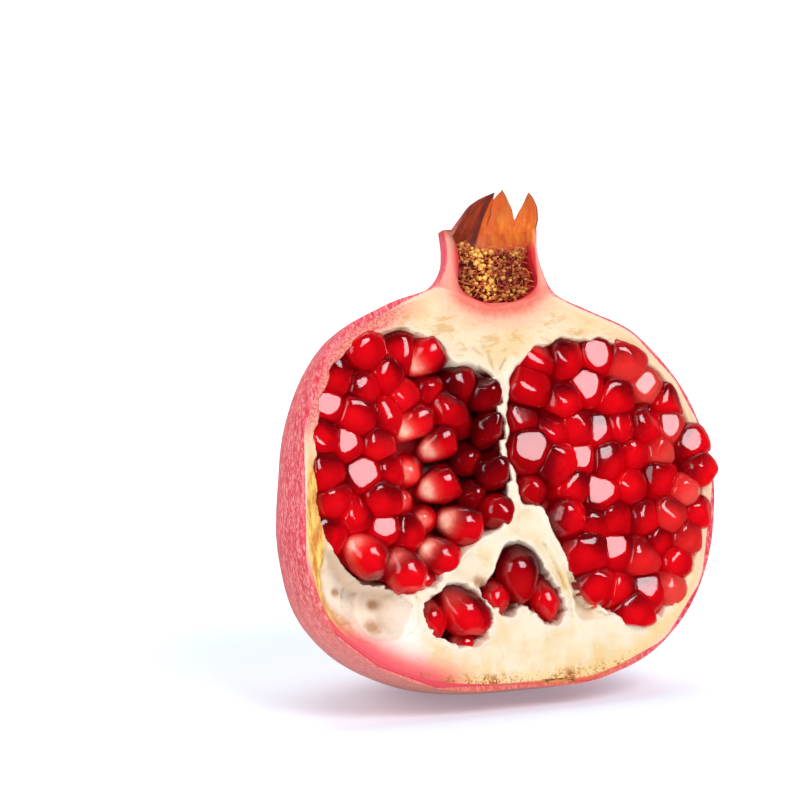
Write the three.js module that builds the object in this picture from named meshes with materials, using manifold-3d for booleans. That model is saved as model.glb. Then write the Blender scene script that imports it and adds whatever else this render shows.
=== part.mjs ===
// Half of a pomegranate, cut from crown to stem end and standing on its blunt base.
//
// Everything is modelled in the cut's own frame, in millimetres: x runs across the cut face, y is the depth
// behind it and z runs up the fruit, from the stem end to the crown. The exported group then leans the half
// back and sets its flat spot on z = 0, with the origin at the middle of that spot.
import * as THREE from "three";
import { mergeVertices } from "three/addons/utils/BufferGeometryUtils.js";
import Module from "manifold-3d";

const wasm = await Module();
wasm.setup();

// ---------- Driving dimensions, in millimetres ----------

// The skin's outer surface, from the stem end to the crown's rim, down the two cut edges and the middle of
// the back. Points with the same place in the three lists lie on one ring of the fruit.
const RIGHT_EDGE = [[0, 0], [13, 0.2], [25, 3.6], [37, 12], [44.5, 24], [48.1, 39], [46.6, 52], [42, 62],
  [33, 72.4], [22, 78], [14.2, 82], [12, 87], [11.4, 91.3], [11.9, 95.5]];
const LEFT_EDGE = [[0, 0], [-13, 0.3], [-26, 2.4], [-39.3, 8.8], [-48.2, 18], [-50.8, 31], [-49.5, 46], [-46.5, 61],
  [-38.5, 74], [-25, 81], [-14.5, 84.3], [-11.2, 88], [-10.3, 92], [-10.3, 96]];
const BACK = [[0, 0], [15, 0.1], [28.8, 1.6], [41, 7.6], [48.6, 20.5], [51.3, 37], [49.5, 50.5], [43.5, 63],
  [34, 72.6], [23, 78.6], [14.3, 82.7], [11.4, 87.3], [10.8, 91.3], [10.9, 96.5]];
const SHOULDER_RING = 10; // the ring where the body turns into the crown's tube
const RIDGES = 6; // the fruit is faintly six-sided
const RIDGE_SHARE = 0.008;

const SKIN = 1.4; // thickness of the leathery skin
const CROWN_LINING = 1.2; // and of the skin that lines the crown's hollow
const GAP = 0.3; // clearance between neighbouring pieces
const PITH = 1.2; // least thickness of pith between the skin and an aril

const LEAN = THREE.MathUtils.degToRad(14); // the half leans back on its base
const REST_DEPTH = 25.5; // depth behind the cut of the point that it rests on
const FLAT_SPOT_SINK = 0.5; // how much the flat spot takes off the round base

const LIP = 6; // how far a form that the cut goes through runs on in front of it
const BLOCK = 400; // size of the boxes that cut
const FINEST = 0.02; // slivers and steps smaller than this are smoothed away
const FINE = { rowsPerRing: 2, turns: 16 }; // facets of a half body
const COARSE = { rowsPerRing: 1, turns: 12 };

// The hollow of the crown: radius and height, turned about an axis at HOLLOW_X.
const HOLLOW_X = 1.1;
const HOLLOW = [[0, 80.2], [3.6, 80.4], [6.8, 81.6], [8.9, 83.2], [9.5, 85], [9.2, 87.2], [8.8, 89.5],
  [8.9, 92], [9.6, 95], [9.9, 100]];

// The sepals: the span of the rim that each grows from, as angles from the right cut edge round the back,
// the height at which it leaves the tube, and where its tip stands.
const SEPAL_THICK = 0.9;
const SEPAL_BOW = 4.5; // how far a sepal bulges outwards
const SEPAL_ROWS = 7;
const SEPAL_COLUMNS = 6;
const TUBE_X = 0.6; // axis and radius of the tube that the sepals stand on
const TUBE_RADIUS = 10.2;
const SEPALS = [
  { from: -4, to: 46, root: 93, tip: [12.8, 3, 104] },
  { from: 34, to: 96, root: 93, tip: [9, 7.4, 105.6] },
  { from: 82, to: 181, root: 94, tip: [5, 5.2, 104.6] },
];

// The chambers that hold the arils, as outlines on the cut face, and how deep they go.
const RIGHT_CHAMBER = [[-0.4, 59.5], [1.5, 65.2], [5.5, 69.3], [12, 71.8], [21, 72.2], [30, 70.2], [37, 65.2],
  [42, 58.5], [44.6, 50], [45.4, 42], [44.6, 33], [42, 24.5], [37.6, 17.6], [32, 12.8], [25.4, 10.8],
  [19, 13.2], [13.4, 18.6], [9.6, 25.5], [6.4, 32], [5, 36.2], [0.2, 37.6], [-0.4, 42], [-0.9, 50]];
const LEFT_CHAMBER = [[-2.4, 59.5], [-3, 64], [-6.4, 67.2], [-11.4, 68.8], [-14, 72.3], [-19, 75.2], [-27, 75.8],
  [-34.2, 73.4], [-39.6, 68.8], [-43.2, 62.5], [-45.4, 55], [-46.4, 46], [-46.8, 38.4], [-44.6, 32.6],
  [-41, 27.6], [-37, 24.2], [-32, 23], [-27.4, 20.8], [-23.4, 21.6], [-18.6, 25], [-13.6, 28.4], [-9, 31],
  [-4.4, 33.2], [-2.2, 39], [-2.6, 48]];
const LOW_LEFT_POCKET = [[-25, 19], [-22.4, 20.6], [-18.4, 22.8], [-14.8, 22.8], [-11, 18.8], [-9.8, 14.4],
  [-12, 10.4], [-16.2, 9.4], [-21.2, 11.2], [-24.6, 14.4]];
const LOW_MIDDLE_POCKET = [[-4.6, 30], [-0.9, 30.4], [2.6, 27.8], [4.6, 23.4], [7.4, 18.6], [8, 14], [4.6, 12.2],
  [0.6, 14.6], [-2.4, 17], [-5, 14.4], [-8, 16.4], [-11.4, 19.4], [-11, 21.8], [-8.4, 23.8], [-6.6, 27.4]];
const CHAMBER_DEPTH = 36;
const POCKET_DEPTH = 14;
const CHAMBER_TAPER = 0.78; // size of a chamber's far end against its mouth
const POCKET_TAPER = 0.7;

// Behind the cut the septum leans to the right, and the walls beside it with it.
const SLANT = 0.45;
const SLANT_DEPTH = 6;
const SLANT_WIDTH = 10;

// Shallow bowls in the pith, below the left arils and beside the right ones: middle and radii.
const SCOOPS = [
  { middle: [-36.6, -1, 21.6], radii: [11.2, 7, 9] },
  { middle: [15, -0.6, 15.6], radii: [9, 4.6, 5] },
];

// The arils. Most are placed by a rule, their blunt front ends towards the cut.
const ARIL_SPACING = 6.7;
const ARIL_FRONT = 3.9; // from an aril's middle to its blunt front end
const ARIL_ROOT = 5.6; // and to its narrow root end
const ARIL_FULLNESS = 0.66; // half width against the spacing
const ARIL_CLEAR = 0.06; // half the hairline between two arils
const ARIL_EDGE = 14; // the higher this is, the crisper the pressed faces meet
const ARIL_SQUARENESS = 2.5; // 2 gives round ends
const CORE_BEHIND = 1.5; // how far behind the arils' middles the mass that they grow from starts
const WALL_MARGIN = 2.5;
const CORE_CELLS = 8;
const OVERHANG = 3; // how far arils that stand proud of the cut may lean out over the pith
const SPREAD_TRIES = 6000;
const SPREAD_START = 0.76; // least distance between first places, against the spacing
const SPREAD_ROUNDS = 60;
const SPREAD_PUSH = 0.25;
const POLAR_RINGS = [30, 62, 98]; // degrees from an aril's front end
const ARIL_SIDES = 6;
const LOOP_POINTS = 64; // points of an outline that arils are measured against
const DEPTH_SPREAD = 1.1; // how much the arils' depths and directions vary
const LEAN_SPREAD = 0.3;
const FAN = 0.006; // how fast they turn outwards away from the chamber's centre

// These lie along the cut or stand deeper: middle, direction of the blunt end, half width and half length.
const LEFT_LYING = [
  { middle: [-16.6, 3.4, 70.1], towards: [0.86, -0.25, 0.5], half: [3.8, 6] },
  { middle: [-20.2, 4.5, 56.8], towards: [0.85, -0.2, 0.49], half: [3.4, 5.9] },
  { middle: [-14.9, 5, 52.2], towards: [0.85, -0.2, 0.49], half: [3.5, 5.3] },
  { middle: [-16, 4.7, 43.4], towards: [0.96, -0.2, 0.22], half: [3.8, 5.4] },
  { middle: [-12.5, 3.9, 34.9], towards: [0.93, -0.15, -0.34], half: [4, 6] },
  { middle: [-18.8, 3.8, 28.6], towards: [0.73, -0.2, -0.67], half: [4, 5.6] },
  { middle: [-27.2, 3.4, 26.5], towards: [0.46, -0.2, -0.87], half: [4.2, 6.4] },
  { middle: [-35.4, 3.5, 30.2], towards: [0.63, -0.2, -0.77], half: [4.2, 6.2] },
  { middle: [-22, 5.8, 24.2], towards: [0.24, -0.3, -0.95], half: [3, 3.8] },
  { middle: [-16.4, 6.2, 63.2], towards: [0.3, -0.9, 0.2], half: [3.6, 4.6] },
  { middle: [-22.9, 5.8, 46.9], towards: [0.3, 0.9, 0.25], half: [3.4, 4.4] },
  { middle: [-25.6, 5.8, 40.6], towards: [0.2, 1, -0.1], half: [3.1, 4.2] },
  { middle: [-20.5, 5.8, 36.7], towards: [0.4, 0.9, 0.1], half: [2.9, 4] },
  { middle: [-9, 5.6, 64], towards: [0, -1, 0.1], half: [4.3, 4.4] },
  { middle: [-4.4, 7, 67], towards: [0, -1, 0.3], half: [3, 4] },
  { middle: [-3.6, 3.6, 61.3], towards: [0.1, -1, 0.3], half: [3.5, 4.5] },
  { middle: [-3.6, 4.2, 54.2], towards: [0.1, -0.8, 0.6], half: [3.2, 5.2] },
  { middle: [-8.2, 9, 56.6], towards: [0, -1, 0], half: [3.6, 4.2] },
  { middle: [-7.6, 8, 48.6], towards: [0, -1, 0], half: [3.3, 4] },
  { middle: [-3.6, 4.2, 45.2], towards: [0.1, -0.8, 0.5], half: [3.6, 4.6] },
  { middle: [-7.6, 7, 40.8], towards: [0, -1, 0], half: [3.3, 4] },
  { middle: [-4, 4, 37.2], towards: [0.2, -0.8, -0.4], half: [3.6, 4.8] },
];
const RIGHT_LYING = [
  { middle: [5, 4, 40.5], towards: [-0.8, -0.5, -0.1], half: [3.4, 4.8] },
  { middle: [12, 3, 34.7], towards: [-0.2, -1, -0.3], half: [4.3, 4.4] },
];
const LOW_LEFT_ARILS = [
  { middle: [-14.6, 4, 17], towards: [0.6, -0.15, -0.78], half: [4.5, 7.2] },
  { middle: [-21.8, 4.6, 16.6], towards: [0.2, -0.2, -0.97], half: [3, 5] },
  { middle: [-14.6, 5.4, 10.6], towards: [0.9, -0.3, -0.4], half: [2.2, 3] },
];
const LOW_MIDDLE_ARILS = [
  { middle: [-1, 4.6, 25.8], towards: [-0.2, -0.3, -0.95], half: [4.1, 5.2] },
  { middle: [-6, 4.2, 19], towards: [-0.15, -0.3, -0.97], half: [3.2, 4.3] },
  { middle: [0.3, 3.8, 20.2], towards: [-0.07, -0.3, -0.98], half: [2.3, 4.6] },
  { middle: [5, 4, 18.4], towards: [0.18, -0.25, -0.97], half: [3, 5.6] },
];
const LIES_OVER = 0.4; // share of a lying aril's half length that keeps its neighbours off

// And these face the cut: x and z of each. The rest are spread between them.
const LEFT_FACING = [[-30.8, 71.6], [-22.9, 71.6], [-40.3, 60.7], [-37.4, 53.1], [-34.1, 46.4],
  [-31.2, 35.2], [-41.3, 41.4], [-31, 41], [-30.6, 52.5]];
const RIGHT_FACING = [[15.7, 68], [23.7, 68], [30.2, 66.4], [6.7, 62.8], [20.3, 61.8], [26.8, 58.9],
  [34.6, 61.2], [39.6, 57.4], [14.4, 59.2], [11, 53], [21.9, 52.2], [32.7, 52.9], [5.4, 49.3],
  [16.6, 46.6], [23.4, 45.5], [20.3, 39.2], [27.6, 40.3], [34.3, 41.2], [23, 33.4], [30.1, 33.3],
  [15.4, 26.9], [22.3, 27], [28.7, 24.9], [16.9, 20], [22.6, 18.6], [29, 17.6]];

// The dried stamens: a low mound that fills the bottom of the crown's hollow, with stamens standing out of it.
const MOUND_TOP = 90.2;
const MOUND_FRONT = 1.6; // depth of the mound's face behind the cut
const STAMENS = 48;
const STAMEN_HALF = 0.75;
const STAMEN_REACH = 2.3;
const TUFT_HALF = 7.2; // half width of the tuft
const TUFT_LOW = 83; // where its lowest stamens leave the mound's face

// ---------- Small tools ----------

// A repeatable stream of numbers from 0 to 1.
function seeded(seed) {
  let state = seed;
  return () => {
    state = (state * 16807) % 2147483647;
    return state / 2147483647;
  };
}

function toSolid(geometry) {
  const bare = new THREE.BufferGeometry();
  bare.setAttribute("position", geometry.getAttribute("position"));
  bare.setIndex(geometry.index);
  const merged = mergeVertices(bare, 1e-4);
  return new wasm.Manifold(new wasm.Mesh({
    numProp: 3,
    vertProperties: merged.attributes.position.array,
    triVerts: new Uint32Array(merged.index.array),
  }));
}

// A solid from points and triangles, turned right side out.
function solidOf(points, triangles) {
  const [a, b, c, n] = [0, 0, 0, 0].map(() => new THREE.Vector3());
  let volume = 0;
  for (const corners of triangles) {
    [a, b, c].forEach((v, k) => v.fromArray(points[corners[k]]));
    volume += a.dot(n.crossVectors(b, c));
  }
  const geometry = new THREE.BufferGeometry();
  geometry.setAttribute("position", new THREE.Float32BufferAttribute(points.flat(), 3));
  geometry.setIndex(triangles.map((corners) => (volume < 0 ? corners.slice().reverse() : corners)).flat());
  return toSolid(geometry);
}

function toMesh(name, solid, material) {
  const { numProp, vertProperties, triVerts } = solid.simplify(FINEST).getMesh();
  const positions = new Float32Array((vertProperties.length / numProp) * 3);
  for (let i = 0; i < positions.length / 3; i++)
    for (let k = 0; k < 3; k++) positions[3 * i + k] = vertProperties[numProp * i + k];
  const geometry = new THREE.BufferGeometry();
  geometry.setAttribute("position", new THREE.BufferAttribute(positions, 3));
  geometry.setIndex(new THREE.BufferAttribute(new Uint32Array(triVerts), 1));
  geometry.computeVertexNormals();
  const mesh = new THREE.Mesh(geometry, material);
  mesh.name = name;
  return mesh;
}

// A closed skin over rings of points, each ring with the same number of them, and a point at either end.
function ringsSolid(rings, first, last) {
  const sides = rings[0].length;
  const points = [first, ...rings.flat(), last];
  const at = (ring, side) => 1 + ring * sides + (side % sides);
  const triangles = [];
  for (let s = 0; s < sides; s++) {
    triangles.push([0, at(0, s + 1), at(0, s)]);
    triangles.push([points.length - 1, at(rings.length - 1, s), at(rings.length - 1, s + 1)]);
    for (let r = 0; r + 1 < rings.length; r++) {
      triangles.push([at(r, s), at(r, s + 1), at(r + 1, s)]);
      triangles.push([at(r, s + 1), at(r + 1, s + 1), at(r + 1, s)]);
    }
  }
  return solidOf(points, triangles);
}

// A thin closed blade: an outer and an inner grid of points, joined round their edges.
function bladeSolid(rows, columns, point) {
  const points = [];
  for (const side of [1, -1])
    for (let r = 0; r <= rows; r++)
      for (let c = 0; c <= columns; c++) points.push(point(r, c, side));
  const at = (r, c, side) => (side > 0 ? 0 : (rows + 1) * (columns + 1)) + r * (columns + 1) + c;
  const triangles = [];
  const quad = (a, b, c, d) => triangles.push([a, b, c], [a, c, d]);
  for (let r = 0; r < rows; r++)
    for (let c = 0; c < columns; c++) {
      quad(at(r, c, 1), at(r, c + 1, 1), at(r + 1, c + 1, 1), at(r + 1, c, 1));
      quad(at(r, c, -1), at(r + 1, c, -1), at(r + 1, c + 1, -1), at(r, c + 1, -1));
    }
  for (let c = 0; c < columns; c++) {
    quad(at(0, c, -1), at(0, c + 1, -1), at(0, c + 1, 1), at(0, c, 1));
    quad(at(rows, c, 1), at(rows, c + 1, 1), at(rows, c + 1, -1), at(rows, c, -1));
  }
  for (let r = 0; r < rows; r++) {
    quad(at(r, 0, 1), at(r + 1, 0, 1), at(r + 1, 0, -1), at(r, 0, -1));
    quad(at(r, columns, -1), at(r + 1, columns, -1), at(r + 1, columns, 1), at(r, columns, 1));
  }
  return solidOf(points, triangles);
}

// A big box, used as a cutting tool.
function block(middle) {
  const geometry = new THREE.BoxGeometry(BLOCK, BLOCK, BLOCK);
  geometry.translate(...middle);
  return toSolid(geometry);
}

// A solid turned about an upright axis at x, from points of radius and height.
function turned(profile, x, grow = 0, sides = 24) {
  const rings = profile.slice(1).map(([radius, height]) =>
    Array.from({ length: sides }, (_, s) => {
      const angle = (2 * Math.PI * s) / sides;
      return [x + (radius + grow) * Math.cos(angle), (radius + grow) * Math.sin(angle), height - grow];
    }));
  const top = profile[profile.length - 1][1] - grow;
  return ringsSolid(rings, [x, 0, profile[0][1] - grow], [x, 0, top]);
}

// ---------- The body's surface ----------

const curve = (points, lift) => new THREE.CatmullRomCurve3(points.map(lift), false, "centripetal");
const rightEdge = curve(RIGHT_EDGE, ([x, z]) => new THREE.Vector3(x, 0, z));
const leftEdge = curve(LEFT_EDGE, ([x, z]) => new THREE.Vector3(x, 0, z));
const back = curve(BACK, ([y, z]) => new THREE.Vector3(0, y, z));
const LAST_RING = BACK.length - 1;

// A point of the outer surface: ring counts from 0 at the stem end to LAST_RING at the rim, and turn goes from
// 0 at the right cut edge through a quarter at the back to a half at the left edge, in radians.
function surface(ring, turn) {
  const t = ring / LAST_RING;
  const [right, left, rear] = [rightEdge.getPoint(t), leftEdge.getPoint(t), back.getPoint(t)];
  const side = Math.cos(turn);
  const depth = Math.sin(turn);
  const edge = side > 0 ? right : left;
  const fade = Math.min(1, ring / 3) * Math.min(1, Math.max(0, (SHOULDER_RING - ring) / 3));
  const ridge = 1 + RIDGE_SHARE * fade * depth * Math.cos(RIDGES * turn);
  return new THREE.Vector3(
    ((right.x + left.x) / 2 + ((right.x - left.x) / 2) * side) * ridge,
    rear.y * depth * ridge,
    rear.z * depth * depth + edge.z * side * side,
  );
}

// The same surface moved inwards along its normal. The cut edges stay in the plane of the cut.
function inside(ring, turn, inset) {
  const point = surface(ring, turn);
  if (!inset) return point;
  const step = 0.02;
  const along = surface(Math.min(LAST_RING, ring + step), turn).sub(surface(Math.max(0, ring - step), turn));
  const around = surface(ring, turn + step).sub(surface(ring, turn - step));
  if (turn < step || turn > Math.PI - step) around.set(0, 1, 0);
  const normal = ring === 0 ? new THREE.Vector3(0, 0, -1) : around.cross(along).normalize();
  if (turn > Math.PI - step) normal.negate();
  return point.addScaledVector(normal, -inset);
}

// The half body within that surface, from the stem end to a ring. It runs forward past the cut by a lip.
function bodySolid(inset, topRing, { rowsPerRing, turns } = FINE) {
  const rings = [];
  for (let row = 1; row <= topRing * rowsPerRing; row++) {
    const ring = row / rowsPerRing;
    const points = [];
    for (let k = 0; k <= turns; k++) points.push(inside(ring, (Math.PI * k) / turns, inset).toArray());
    const [right, left] = [points[0], points[turns]];
    right[1] = 0;
    left[1] = 0;
    rings.push([[right[0], -LIP, right[2]], ...points, [left[0], -LIP, left[2]]]);
  }
  const bottom = inside(0, Math.PI / 2, inset).toArray();
  const rim = rings[rings.length - 1];
  const top = rim.reduce((sum, p) => sum.map((v, i) => v + p[i] / rim.length), [0, 0, 0]);
  return ringsSolid(rings, [bottom[0], -LIP / 2, bottom[2]], top);
}

// ---------- Chambers ----------

function outlinePoints(outline, count) {
  const loop = curve(outline, ([x, z]) => new THREE.Vector3(x, 0, z));
  loop.closed = true;
  return Array.from({ length: count }, (_, k) => {
    const p = loop.getPoint(k / count);
    return [p.x, p.z];
  });
}

function centreOf(points) {
  return points.reduce((sum, p) => [sum[0] + p[0] / points.length, sum[1] + p[1] / points.length], [0, 0]);
}

// How far the walls have moved to the right at a depth behind the cut.
const bell = (x, middle, width) => Math.exp(-(((x - middle) / width) ** 2));
const slant = (x, y) => SLANT * Math.min(Math.max(y, 0), SLANT_DEPTH) * bell(x, 0, SLANT_WIDTH);

// A tapering well behind an outline, from in front of the cut to its depth. The room of a bunch of arils is the
// same well drawn in by a gap, and it widens in front of the cut.
function well(outline, depth, taper, count, gap = 0) {
  const points = outlinePoints(outline, count);
  const [cx, cz] = centreOf(points);
  const level = (y, size, inset) => points.map(([x, z]) => {
    const [dx, dz] = [x - cx, z - cz];
    const far = Math.hypot(dx, dz);
    const scale = size * ((far - inset) / far);
    const across = cx + dx * scale;
    return [across + slant(across, y), y, cz + dz * scale];
  });
  const levels = [
    level(-LIP, 1, gap ? -OVERHANG : 0),
    level(-gap, 1, gap),
    level(SLANT_DEPTH, 1 - ((1 - taper) * SLANT_DEPTH) / depth, gap),
    level(depth - gap, taper, gap),
  ];
  return ringsSolid(levels, [cx, -LIP, cz], [cx, depth - gap, cz]);
}

function ellipsoid(middle, radii) {
  const geometry = new THREE.SphereGeometry(1, 16, 12);
  geometry.scale(...radii);
  geometry.translate(...middle);
  return toSolid(geometry);
}

// ---------- Where the arils sit ----------

// The distance from a point to an outline, less than 0 outside it, and the way inwards.
function toOutline(point, loop) {
  let best = Infinity;
  let way = [0, 0];
  let crossings = 0;
  for (let i = 0; i < loop.length; i++) {
    const [a, b] = [loop[i], loop[(i + 1) % loop.length]];
    const [ex, ez] = [b[0] - a[0], b[1] - a[1]];
    const [px, pz] = [point[0] - a[0], point[1] - a[1]];
    const share = Math.min(1, Math.max(0, (px * ex + pz * ez) / (ex * ex + ez * ez)));
    const [dx, dz] = [px - ex * share, pz - ez * share];
    const far = Math.hypot(dx, dz);
    if (far < best) {
      best = far;
      way = far > 1e-9 ? [dx / far, dz / far] : [0, 0];
    }
    if (a[1] > point[1] !== b[1] > point[1] && point[0] < a[0] + (ex * (point[1] - a[1])) / ez) crossings++;
  }
  return crossings % 2 ? { distance: best, way } : { distance: -best, way: [-way[0], -way[1]] };
}

// Points spread evenly over an outline, between fixed ones, by pushing near neighbours apart as growing arils
// push. Each point is [x, z].
function spread(outline, fixed, spacing, seed) {
  const loop = outlinePoints(outline, LOOP_POINTS);
  const random = seeded(seed);
  const [xs, zs] = [loop.map((p) => p[0]), loop.map((p) => p[1])];
  const [x0, x1, z0, z1] = [Math.min(...xs), Math.max(...xs), Math.min(...zs), Math.max(...zs)];
  const points = fixed.slice();
  for (let tries = 0; tries < SPREAD_TRIES; tries++) {
    const point = [x0 + (x1 - x0) * random(), z0 + (z1 - z0) * random()];
    const room = SPREAD_START * spacing(point);
    const fits = toOutline(point, loop).distance > WALL_MARGIN
      && points.every((p) => Math.hypot(p[0] - point[0], p[1] - point[1]) > room);
    if (fits) points.push(point);
  }
  for (let round = 0; round < SPREAD_ROUNDS; round++) {
    for (let i = fixed.length; i < points.length; i++) {
      const move = [0, 0];
      for (const other of points) {
        const [dx, dz] = [points[i][0] - other[0], points[i][1] - other[1]];
        const far = Math.hypot(dx, dz);
        const wanted = spacing(points[i]);
        if (far === 0 || far >= wanted) continue;
        move[0] += (SPREAD_PUSH * (wanted - far) * dx) / far;
        move[1] += (SPREAD_PUSH * (wanted - far) * dz) / far;
      }
      const moved = [points[i][0] + move[0], points[i][1] + move[1]];
      const { distance, way } = toOutline(moved, loop);
      const short = Math.max(0, WALL_MARGIN - distance);
      points[i] = [moved[0] + way[0] * short, moved[1] + way[1] * short];
    }
  }
  return points.slice(fixed.length);
}

const ramp = (x, from, to) => {
  const t = Math.min(1, Math.max(0, (x - from) / (to - from)));
  return t * t * (3 - 2 * t);
};

// How deep behind the cut the fronts of the arils stand, and how far apart they are. Those on the far right
// stand proud of the cut.
const leftFront = () => 0.3;
const rightFront = (x, z) => -0.8 + 2.4 * bell(x, 0, 5) - 1.9 * ramp(x, 33, 42) * bell(z, 41, 13);
const leftSpacing = () => ARIL_SPACING;
const rightSpacing = ([x]) => ARIL_SPACING - 0.9 * ramp(x, 18, 42);

function lyingAril({ middle, towards, half }) {
  return {
    middle: new THREE.Vector3(...middle),
    towards: new THREE.Vector3(...towards).normalize(),
    half,
    root: half[1],
  };
}

// The arils of a chamber: the lying ones, and between them others that face the cut.
function arilsOf(outline, lying, facingSpots, spacing, front, seed) {
  const laid = lying.map(lyingAril);
  const ends = laid.flatMap(({ middle, towards, half }) => [-LIES_OVER, LIES_OVER].map((share) =>
    [middle.x + share * half[1] * towards.x, middle.z + share * half[1] * towards.z]));
  const spots = [...facingSpots, ...spread(outline, [...ends, ...facingSpots], spacing, seed)];
  const [cx, cz] = centreOf(outlinePoints(outline, LOOP_POINTS));
  const random = seeded(seed + 1);
  const facing = spots.map(([x, z]) => {
    const depth = front(x, z) + ARIL_FRONT + DEPTH_SPREAD * (random() - 0.5);
    const lean = [(x - cx) * FAN + LEAN_SPREAD * (random() - 0.5), -1, (z - cz) * FAN + LEAN_SPREAD * (random() - 0.5)];
    return {
      middle: new THREE.Vector3(x, depth, z),
      towards: new THREE.Vector3(...lean).normalize(),
      half: [ARIL_FULLNESS * spacing([x, z]), ARIL_FRONT],
      root: ARIL_ROOT,
    };
  });
  return [...laid, ...facing];
}

// ---------- The shape of one aril ----------

// How far the aril reaches from its middle along a direction: a blunt oval with a narrow root, flattened by
// each neighbour that it presses on.
function reach(aril, direction, neighbours) {
  const along = direction.dot(aril.towards);
  const across = Math.sqrt(Math.max(0, 1 - along * along));
  const length = along > 0 ? aril.half[1] : aril.root;
  const width = aril.half[0] * (along > 0 ? 1 : 1 + 0.3 * along);
  const oval = Math.abs(along / length) ** ARIL_SQUARENESS + (across / width) ** ARIL_SQUARENESS;
  let sum = oval ** (ARIL_EDGE / ARIL_SQUARENESS);
  for (const other of neighbours) {
    const gap = other.middle.clone().sub(aril.middle);
    const far = gap.length();
    const facing = direction.dot(gap) / far;
    const share = aril.half[0] / (aril.half[0] + other.half[0]);
    if (facing > 0.05) sum += (facing / (far * share - ARIL_CLEAR)) ** ARIL_EDGE;
  }
  return sum ** (-1 / ARIL_EDGE);
}

function arilSolid(aril, all) {
  const neighbours = all.filter((o) => o !== aril && o.middle.distanceTo(aril.middle) < 2 * ARIL_SPACING);
  const side = new THREE.Vector3(1, 0, 0).cross(aril.towards).normalize();
  const other = aril.towards.clone().cross(side);
  const at = (polar, around) => {
    const direction = aril.towards.clone().multiplyScalar(Math.cos(polar))
      .addScaledVector(side, Math.sin(polar) * Math.cos(around))
      .addScaledVector(other, Math.sin(polar) * Math.sin(around));
    return aril.middle.clone().addScaledVector(direction, reach(aril, direction, neighbours)).toArray();
  };
  const rings = POLAR_RINGS.map((polar, r) => Array.from({ length: ARIL_SIDES }, (_, s) =>
    at(THREE.MathUtils.degToRad(polar), (2 * Math.PI * (s + (r % 2) / 2)) / ARIL_SIDES)));
  return ringsSolid(rings.reverse(), at(Math.PI, 0), at(0, 0));
}

// The space in front of the mass that a chamber's arils grow from: its back wall follows the arils' middles.
function frontSpace(outline, arils) {
  const loop = outlinePoints(outline, LOOP_POINTS);
  const [xs, zs] = [loop.map((p) => p[0]), loop.map((p) => p[1])];
  const edge = 2 * OVERHANG;
  const [x0, x1] = [Math.min(...xs) - edge, Math.max(...xs) + edge];
  const [z0, z1] = [Math.min(...zs) - edge, Math.max(...zs) + edge];
  const depthAt = (x, z) => {
    let [total, weights] = [0, 0];
    for (const { middle } of arils) {
      const weight = bell(Math.hypot(middle.x - x, middle.z - z), 0, ARIL_SPACING / 2) + 1e-9;
      total += weight * middle.y;
      weights += weight;
    }
    return total / weights + CORE_BEHIND;
  };
  const rings = [];
  for (let i = 0; i <= CORE_CELLS; i++) {
    const x = x0 + ((x1 - x0) * i) / CORE_CELLS;
    const ring = [];
    for (let k = 0; k <= CORE_CELLS; k++) {
      const z = z0 + ((z1 - z0) * k) / CORE_CELLS;
      ring.push([x, depthAt(x, z), z]);
    }
    rings.push([...ring, [x, -3 * LIP, z1], [x, -3 * LIP, z0]]);
  }
  return ringsSolid(rings, [x0, 0, (z0 + z1) / 2], [x1, 0, (z0 + z1) / 2]);
}

// ---------- The pieces ----------

const behindCut = block([0, BLOCK / 2, 0]);
const hollow = (grow) => turned(HOLLOW, HOLLOW_X, grow);

// A sepal: a curved blade that leaves the tube between two angles and narrows to its tip.
function sepal({ from, to, root, tip }) {
  const [middle, spread] = [(from + to) / 2, (to - from) / 2].map(THREE.MathUtils.degToRad);
  const around = (angle) => new THREE.Vector3(Math.cos(angle), Math.sin(angle), 0);
  const spine = around(middle).multiplyScalar(TUBE_RADIUS).add(new THREE.Vector3(TUBE_X, 0, root));
  const drift = new THREE.Vector3(...tip).sub(spine);
  const point = (row, column, outwards) => {
    const up = row / SEPAL_ROWS;
    const narrow = Math.max(0.03, (1 - up ** 1.8) ** 0.9);
    const angle = middle + spread * narrow * ((2 * column) / SEPAL_COLUMNS - 1);
    return around(angle).multiplyScalar(TUBE_RADIUS).add(new THREE.Vector3(TUBE_X, 0, root))
      .addScaledVector(drift, up)
      .addScaledVector(around(middle), SEPAL_BOW * up * up * (1 - up))
      .addScaledVector(around(angle), outwards * SEPAL_THICK * 0.5)
      .toArray();
  };
  return bladeSolid(SEPAL_ROWS, SEPAL_COLUMNS, point);
}

function rindSolid() {
  const outer = bodySolid(0, LAST_RING).intersect(behindCut);
  const filling = bodySolid(SKIN, SHOULDER_RING).subtract(hollow(CROWN_LINING));
  let rind = outer.subtract(filling).subtract(hollow(0));
  for (const each of SEPALS) rind = rind.add(sepal(each).intersect(behindCut));
  return rind;
}

function pithSolid() {
  let pith = bodySolid(SKIN + GAP, SHOULDER_RING).subtract(hollow(CROWN_LINING + GAP)).intersect(behindCut);
  const core = bodySolid(SKIN + GAP + PITH, SHOULDER_RING);
  const wells = [
    well(RIGHT_CHAMBER, CHAMBER_DEPTH, CHAMBER_TAPER, 46),
    well(LEFT_CHAMBER, CHAMBER_DEPTH, CHAMBER_TAPER, 50),
    well(LOW_LEFT_POCKET, POCKET_DEPTH, POCKET_TAPER, 20),
    well(LOW_MIDDLE_POCKET, POCKET_DEPTH, POCKET_TAPER, 26),
    ...SCOOPS.map(({ middle, radii }) => ellipsoid(middle, radii)),
  ];
  for (const each of wells) pith = pith.subtract(each.intersect(core));
  return pith;
}

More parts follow.
